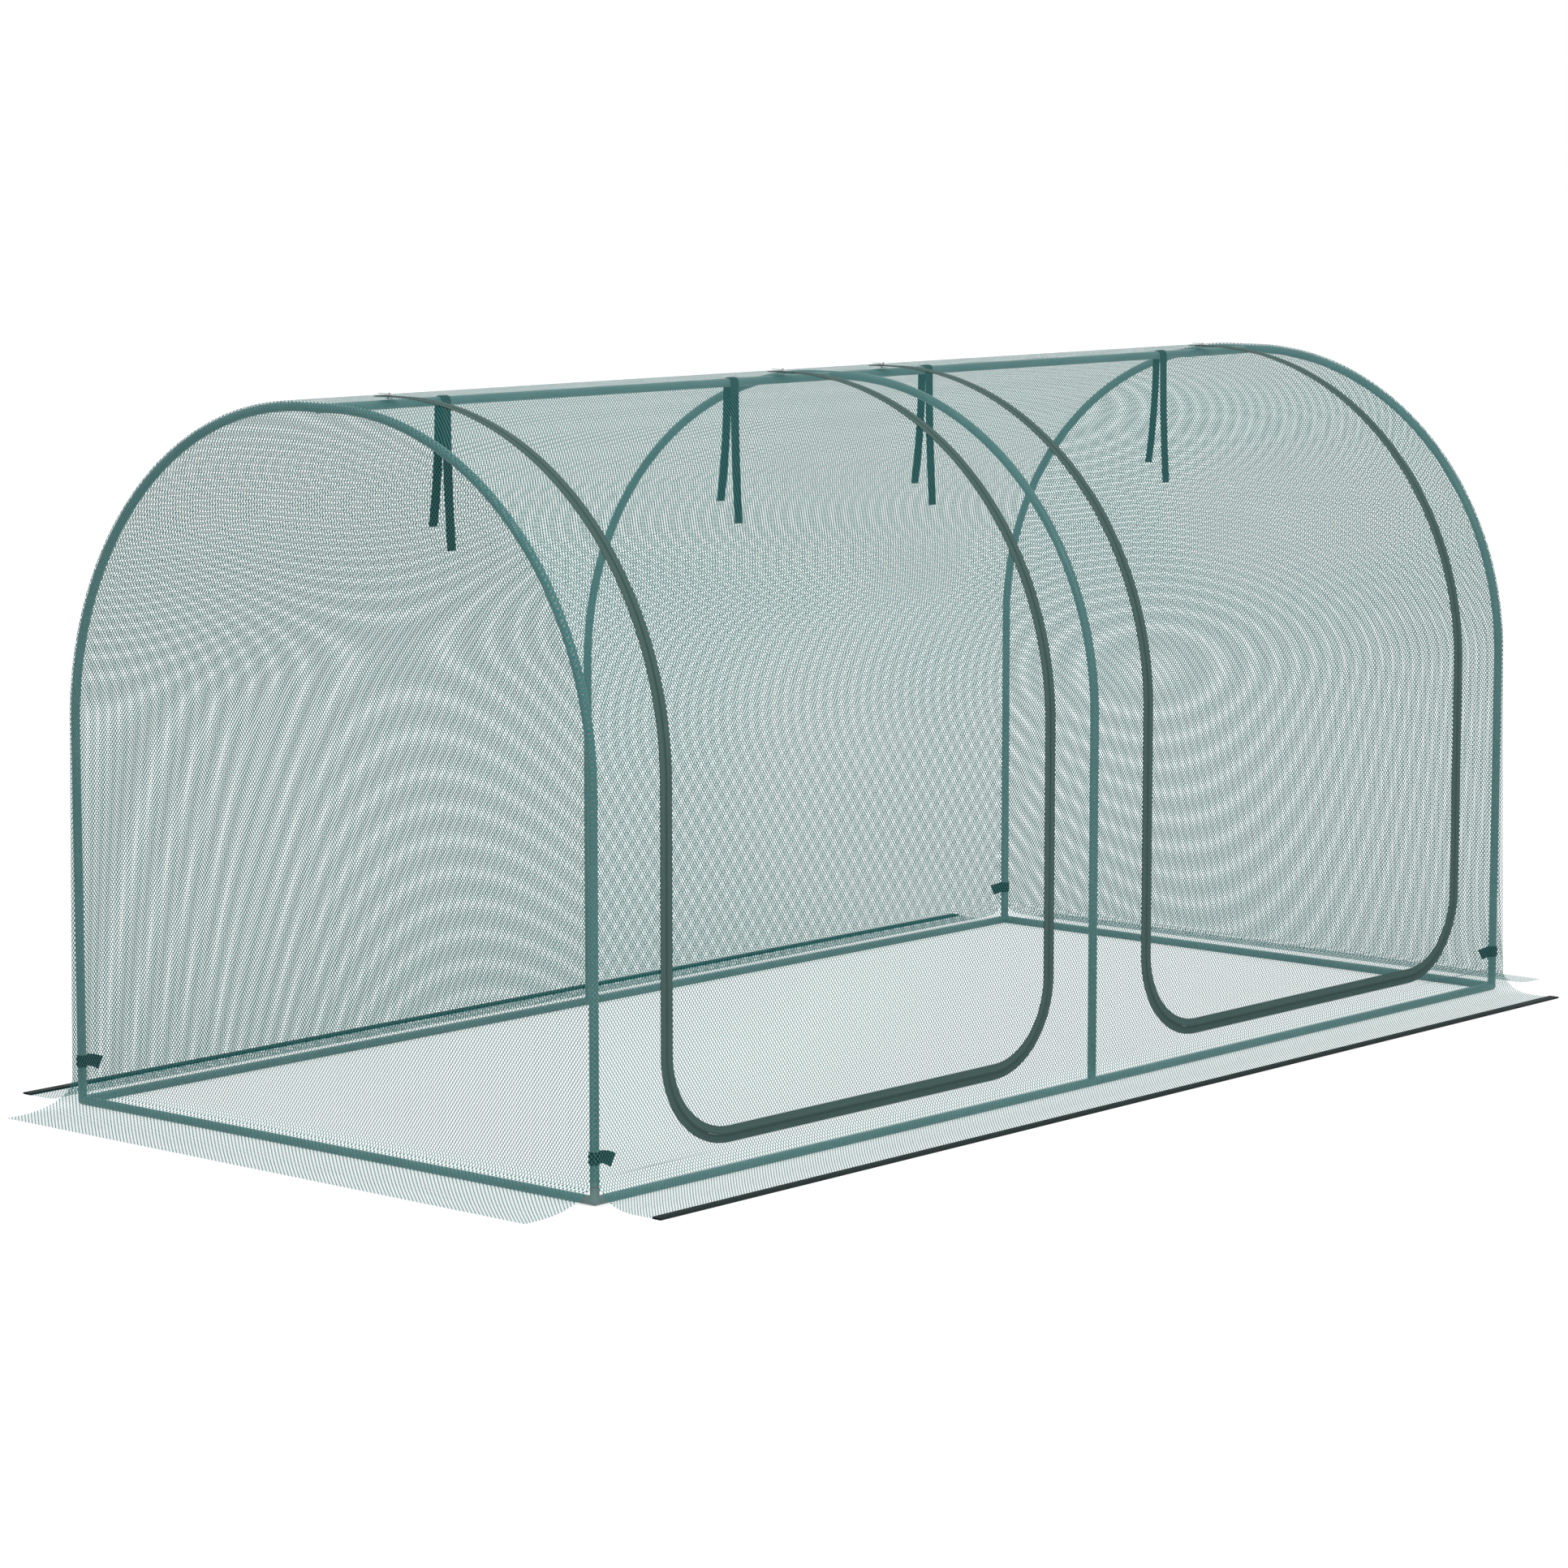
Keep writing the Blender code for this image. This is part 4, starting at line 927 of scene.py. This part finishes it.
def hem_binding(side_name, side):
    """A tape folded over the hem of a long skirt, its fold rounded."""
    inside = WIDTH / 2 + SIDE_SKIRT_REACH - BINDING_WIDTH
    top = 2 * HEM_LIFT + NET_THICKNESS
    half = top / 2

    def fold(radius):
        return [(BINDING_WIDTH - half + radius * math.sin(turn), half - radius * math.cos(turn))
                for turn in spread(0, math.pi, FOLD_STEPS)]
    section = [(0.0, 0.0)] + fold(half) + [(0.0, top), (0.0, top - BINDING_THICKNESS)]
    section += fold(half - BINDING_THICKNESS)[::-1] + [(0.0, BINDING_THICKNESS)]
    stations = [(x, inside, 0, 1) for x in spread(-LENGTH / 2, LENGTH / 2, HEM_STEPS)]
    mesh = ribbon_mesh(stations, section, lambda x, out, z: Vector((x, side * out, z)))
    return new_piece(f"{side_name}_hem_binding", mesh, "cage", "hem_binding")


def webbing_section():
    """Across the webbing: a flat band whose selvedges are rounded."""
    half = WEBBING_WIDTH / 2
    thick = WEBBING_THICKNESS / 2
    flat = half - WEBBING_EDGE
    return [(-half, 0.0), (-flat, -thick), (flat, -thick), (half, 0.0), (flat, thick), (-flat, thick)]


def headings(points):
    """The direction of a line at each of its points."""
    pairs = zip(points[:1] + points[:-1], points[1:] + points[-1:])
    return [(after - before).normalized() for before, after in pairs]


def tie(door, side_name, x):
    """A strap over the ridge tube with a tail on each side, the back one curling away."""
    radius = TUBE_RADIUS + SEAT_GAP + WEBBING_THICKNESS / 2
    path = [(-radius - TIE_FRONT_LEAN * share ** 2, -TIE_FRONT_DROP * share)
            for share in spread(1, 0, TIE_STEPS)[:-1]]
    path += [(-radius * math.cos(turn), radius * math.sin(turn)) for turn in spread(0, math.pi, TIE_STEPS)]
    path += [(radius + TIE_BACK_LEAN * share ** 2, -TIE_BACK_DROP * share)
             for share in spread(0, 1, TIE_STEPS)[1:]]
    mesh = band_mesh(path, lambda y, z, across: Vector((x + across, y, RIDGE_Z + z)))
    name = f"{door}_{side_name}_tie"
    return new_piece(name, mesh, name, "webbing")


def band_mesh(path, place):
    """A webbing band whose middle line is a path in a plane: place(first, second, across)."""
    shape = bmesh.new()
    layer = shape.loops.layers.uv.new("UVMap")
    section = webbing_section()
    points = [Vector(point) for point in path]
    rings = []
    for point, ahead in zip(points, headings(points)):
        rings.append([shape.verts.new(place(point.x - ahead.y * height, point.y + ahead.x * height, across))
                      for across, height in section])
    add_sides(shape, layer, rings, running_lengths(points), section)
    shape.faces.new(rings[0])
    shape.faces.new(rings[-1][::-1])
    return mesh_of(shape)


def corner_strap(side_name, end_name, side, end):
    """A strap round a leg, sewn to itself in a double tab that droops a little at its end."""
    radius = TUBE_RADIUS + SEAT_GAP + WEBBING_THICKNESS / 2
    half = WEBBING_THICKNESS / 2
    opening = math.asin(half / radius) + STRAP_OPENING
    start = radius * math.cos(opening)
    tab = spread(STRAP_TAB_LENGTH, start, STRAP_TAB_STEPS)[:-1]
    path = [(reach, half) for reach in tab]
    path += [(radius * math.cos(turn), radius * math.sin(turn))
             for turn in spread(opening, 2 * math.pi - opening, STRAP_STEPS)]
    path += [(reach, -half) for reach in tab[::-1]]
    x = end * HOOP_X
    y = side * LEG_Y

    def place(along, across, height):
        reach = max(0.0, along - start) / (STRAP_TAB_LENGTH - start)
        slant = STRAP_TAB_SLANT * reach * (height / WEBBING_WIDTH - 0.5)
        droop = STRAP_TAB_DROOPS[end_name] * reach ** 2
        return Vector((x - end * (along + slant), y + across, STRAP_HEIGHT + height - droop))
    return new_piece(f"{side_name}_{end_name}_corner_strap", band_mesh(path, place), "cage", "webbing")


# Zip sliders and pull tabs

def add_prism(shape, outline, place, low, high, soften):
    """A plate of an outline in (first, second) between two heights, with softened edges."""
    lower = [shape.verts.new(place(a, b, low)) for a, b in outline]
    upper = [shape.verts.new(place(a, b, high)) for a, b in outline]
    faces = [shape.faces.new(lower[::-1]), shape.faces.new(upper)]
    for k in range(len(outline)):
        faces.append(shape.faces.new([lower[k - 1], lower[k], upper[k], upper[k - 1]]))
    edges = {edge for face in faces for edge in face.edges}
    bmesh.ops.bevel(shape, geom=list(edges), offset=soften, segments=2, affect="EDGES", profile=0.5)


def slider_outline(x):
    """A zip slider's plan: square tail, round shoulders, narrower nose."""
    tail = SLIDER_Y - SLIDER_HALF_LENGTH
    nose = SLIDER_Y + SLIDER_HALF_LENGTH
    shoulder = nose - POST_LENGTH
    right = [(SLIDER_TAIL_HALF_WIDTH, tail),
             (SLIDER_TAIL_HALF_WIDTH + SLIDER_BULGE, (tail + shoulder) / 2),
             (SLIDER_HALF_WIDTH, shoulder),
             (SLIDER_HALF_WIDTH - SLIDER_ROUND_IN, shoulder + SLIDER_ROUND_LENGTH),
             (SLIDER_TAIL_HALF_WIDTH, nose)]
    return [(x + a, b) for a, b in right] + [(x - a, b) for a, b in right[::-1]]


def on_crown(x, y, height):
    return Vector((x, y, APEX_Z + height))


def slider(name, x):
    """Two plates joined by a post, and a bail over the upper one that holds the pull tab."""
    shape = bmesh.new()
    for bottom in (UPPER_PLATE_BOTTOM, LOWER_PLATE_BOTTOM):
        add_prism(shape, slider_outline(x), on_crown, bottom, bottom + SLIDER_PLATE, SLIDER_EDGE)
    front = SLIDER_Y + SLIDER_HALF_LENGTH - POST_TO_NOSE
    back = front - POST_LENGTH
    post = [(x - POST_HALF_WIDTH, back), (x + POST_HALF_WIDTH, back), (x + POST_HALF_WIDTH, front),
            (x - POST_HALF_WIDTH, front)]
    half_plate = SLIDER_PLATE / 2
    foot = UPPER_PLATE_BOTTOM + half_plate
    add_prism(shape, post, on_crown, LOWER_PLATE_BOTTOM + half_plate, foot, POST_EDGE)
    middle = BAIL_INSIDE + BAIL_THICKNESS / 2
    rise = BAIL_TOP - BAIL_THICKNESS / 2 - TAB_AXIS_HEIGHT
    path = [(-middle, foot), (-middle, TAB_AXIS_HEIGHT)]
    path += [(-middle * math.cos(turn), TAB_AXIS_HEIGHT + rise * math.sin(turn))
             for turn in spread(0, math.pi, BAIL_STEPS)[1:-1]]
    path += [(middle, TAB_AXIS_HEIGHT), (middle, foot)]
    points = [Vector(point) for point in path]
    add_rings(shape, [
        circle(on_crown(x, SLIDER_Y + point.x, point.y), X_AXIS * BAIL_HALF_WIDTH,
               Vector((0, -ahead.y, ahead.x)) * (BAIL_THICKNESS / 2), 1, BAIL_SIDES)
        for point, ahead in zip(points, headings(points))
    ])
    new_piece(name, mesh_of(shape), name, "plated_zinc", 30)


def pull_tab(name, x):
    """A flat stamped tab with an eye round the bail, a waist and a small hole at its tip."""
    shape = bmesh.new()
    bar = TAB_THICKNESS / 2
    tip = TAB_LENGTH - TAB_HALF_WIDTH
    side = [(TAB_HALF_WIDTH, -bar), (TAB_HALF_WIDTH, TAB_EYE_END), (TAB_WAIST, TAB_EYE_END + TAB_NECK),
            (TAB_WAIST, tip - TAB_FLARE_START), (TAB_HALF_WIDTH, tip - TAB_FLARE_END)]
    outer = [(-across, along) for across, along in side]
    outer += [(-TAB_HALF_WIDTH * math.cos(turn), tip + TAB_HALF_WIDTH * math.sin(turn))
              for turn in spread(0, math.pi, TAB_STEPS)]
    outer += side[::-1]
    eye = [(-TAB_EYE_HALF, bar), (-TAB_EYE_HALF, TAB_EYE_END),
           (TAB_EYE_HALF, TAB_EYE_END), (TAB_EYE_HALF, bar)]
    round_hole = [(TAB_HOLE_RADIUS * math.cos(turn), tip + TAB_HOLE_RADIUS * math.sin(turn))
                  for turn in spread(0, 2 * math.pi, TAB_STEPS)[:-1]]
    for height in (-bar, bar):
        edges = []
        for outline in (outer, eye, round_hole):
            points = [shape.verts.new(on_crown(x + a, SLIDER_Y + b, TAB_AXIS_HEIGHT + height))
                      for a, b in outline]
            edges += [shape.edges.new((points[k - 1], points[k])) for k in range(len(points))]
        bmesh.ops.triangle_fill(shape, use_beauty=True, edges=edges)
    shape.verts.ensure_lookup_table()
    half = len(shape.verts) // 2
    start = 0
    for outline in (outer, eye, round_hole):
        count = len(outline)
        for k in range(count):
            corners = [start + (k - 1) % count, start + k, half + start + k, half + start + (k - 1) % count]
            shape.faces.new([shape.verts[corner] for corner in corners])
        start += count
    new_piece(name, mesh_of(shape), name, "plated_zinc", 30)


# Studio

def build_floor():
    """A pale floor that shows as white where it is lit."""
    graph = Graph("pale_floor", 0.9)
    graph.colour(linear(185, 185, 185))
    graph.set("Specular IOR Level", 0.0)
    path = graph.node("ShaderNodeLightPath").outputs
    seen = graph.math("MAXIMUM", path["Is Camera Ray"], path["Is Glossy Ray"])
    seen = graph.math("MAXIMUM", seen, path["Is Transmission Ray"])
    glow = graph.node("ShaderNodeEmission", {"Strength": graph.times(seen, FLOOR_GLOW)})
    both = graph.node("ShaderNodeAddShader", {0: graph.shader.outputs[0], 1: glow.outputs[0]})
    graph.feed(graph.tree.nodes["Material Output"].inputs["Surface"], both.outputs[0])
    mesh = bpy.data.meshes.new("studio_floor")
    corners = [(-1, -1), (1, -1), (1, 1), (-1, 1)]
    mesh.from_pydata([(x * FLOOR_REACH, y * FLOOR_REACH, 0) for x, y in corners], [], [(0, 1, 2, 3)])
    mesh.materials.append(graph.material)
    add_to_scene("studio_floor", mesh, (0, 0, -FLOOR_DROP))


def build_surround():
    """A white surround, which lights the cage less strongly than it shows."""
    world = bpy.data.worlds.new("studio_surround")
    world.use_nodes = True
    bpy.context.scene.world = world
    nodes = world.node_tree.nodes
    lit = nodes["Background"]
    shown = nodes.new("ShaderNodeBackground")
    for background, strength in ((lit, SURROUND_LIGHT), (shown, 1.0)):
        background.inputs["Color"].default_value = WHITE
        background.inputs["Strength"].default_value = strength
    choice = nodes.new("ShaderNodeMixShader")
    path = nodes.new("ShaderNodeLightPath").outputs
    either = nodes.new("ShaderNodeMath")
    either.operation = "MAXIMUM"
    for source, target in (
        (path["Is Camera Ray"], either.inputs[0]),
        (path["Is Glossy Ray"], either.inputs[1]),
        (either.outputs[0], choice.inputs["Fac"]),
        (lit.outputs[0], choice.inputs[1]),
        (shown.outputs[0], choice.inputs[2]),
        (choice.outputs[0], nodes["World Output"].inputs["Surface"]),
    ):
        world.node_tree.links.new(source, target)


def build_lamps():
    """Soft round lamps that look at the middle of the cage."""
    for name, (place, power) in LAMPS.items():
        data = bpy.data.lights.new(name, "AREA")
        data.shape = "DISK"
        data.size = LAMP_SIZE
        data.energy = power
        target = Vector((0, 0, HEIGHT / 2)) - Vector(place)
        add_to_scene(name, data, place).rotation_euler = target.to_track_quat("-Z", "Y").to_euler()


def build_camera():
    data = bpy.data.cameras.new("photo_camera")
    data.lens = CAMERA_LENS_MM
    data.sensor_width = CAMERA_SENSOR_MM
    data.clip_end = CAMERA_FAR
    camera = add_to_scene("photo_camera", data, CAMERA_PLACE)
    camera.rotation_euler = (math.radians(90 - CAMERA_ELEVATION), 0.0, math.radians(CAMERA_AZIMUTH))
    bpy.context.scene.camera = camera


build_camera()
build_floor()
build_surround()
build_lamps()
bpy.context.scene.view_settings.view_transform = "Standard"

# For each slot of the CAD model, the word that its pieces' names end in, and its material
FINISHES = {
    "green_powder_coat": ("coated", powder_coat()),
    "knitted_net": ("knit", knitted_net()),
    "zip_tape": ("woven", zip_tape()),
    "hem_binding": ("folded", hem_tape()),
    "webbing": ("woven", webbing()),
    "plated_zinc": ("plated", plated_zinc()),
}

build_frame()
roof_net()([])
back_net()([])
front_tapes = []
for door, (left, right) in DOORS.items():
    door_tape = door_zip_tape(door, left, right)
    door_net(door, left, right)([door_tape])
    front_tapes.append(frame_zip_tape(door, left, right))
    for side_name, x, tie_x in (("left", left, left + TIE_TO_ZIP), ("right", right, right - TIE_TO_ZIP)):
        slider(f"{door}_{side_name}_slider", x)
        pull_tab(f"{door}_{side_name}_pull_tab", x)
        tie(door, side_name, tie_x)
front_net()(front_tapes)
for end_name, side in ENDS.items():
    end_net(end_name, side)([])
    end_skirt(end_name, side)([])
for side_name, side in SIDES.items():
    binding = hem_binding(side_name, side)
    side_skirt(side_name, side)([binding])
    for end_name, end in ENDS.items():
        corner_strap(side_name, end_name, side, end)
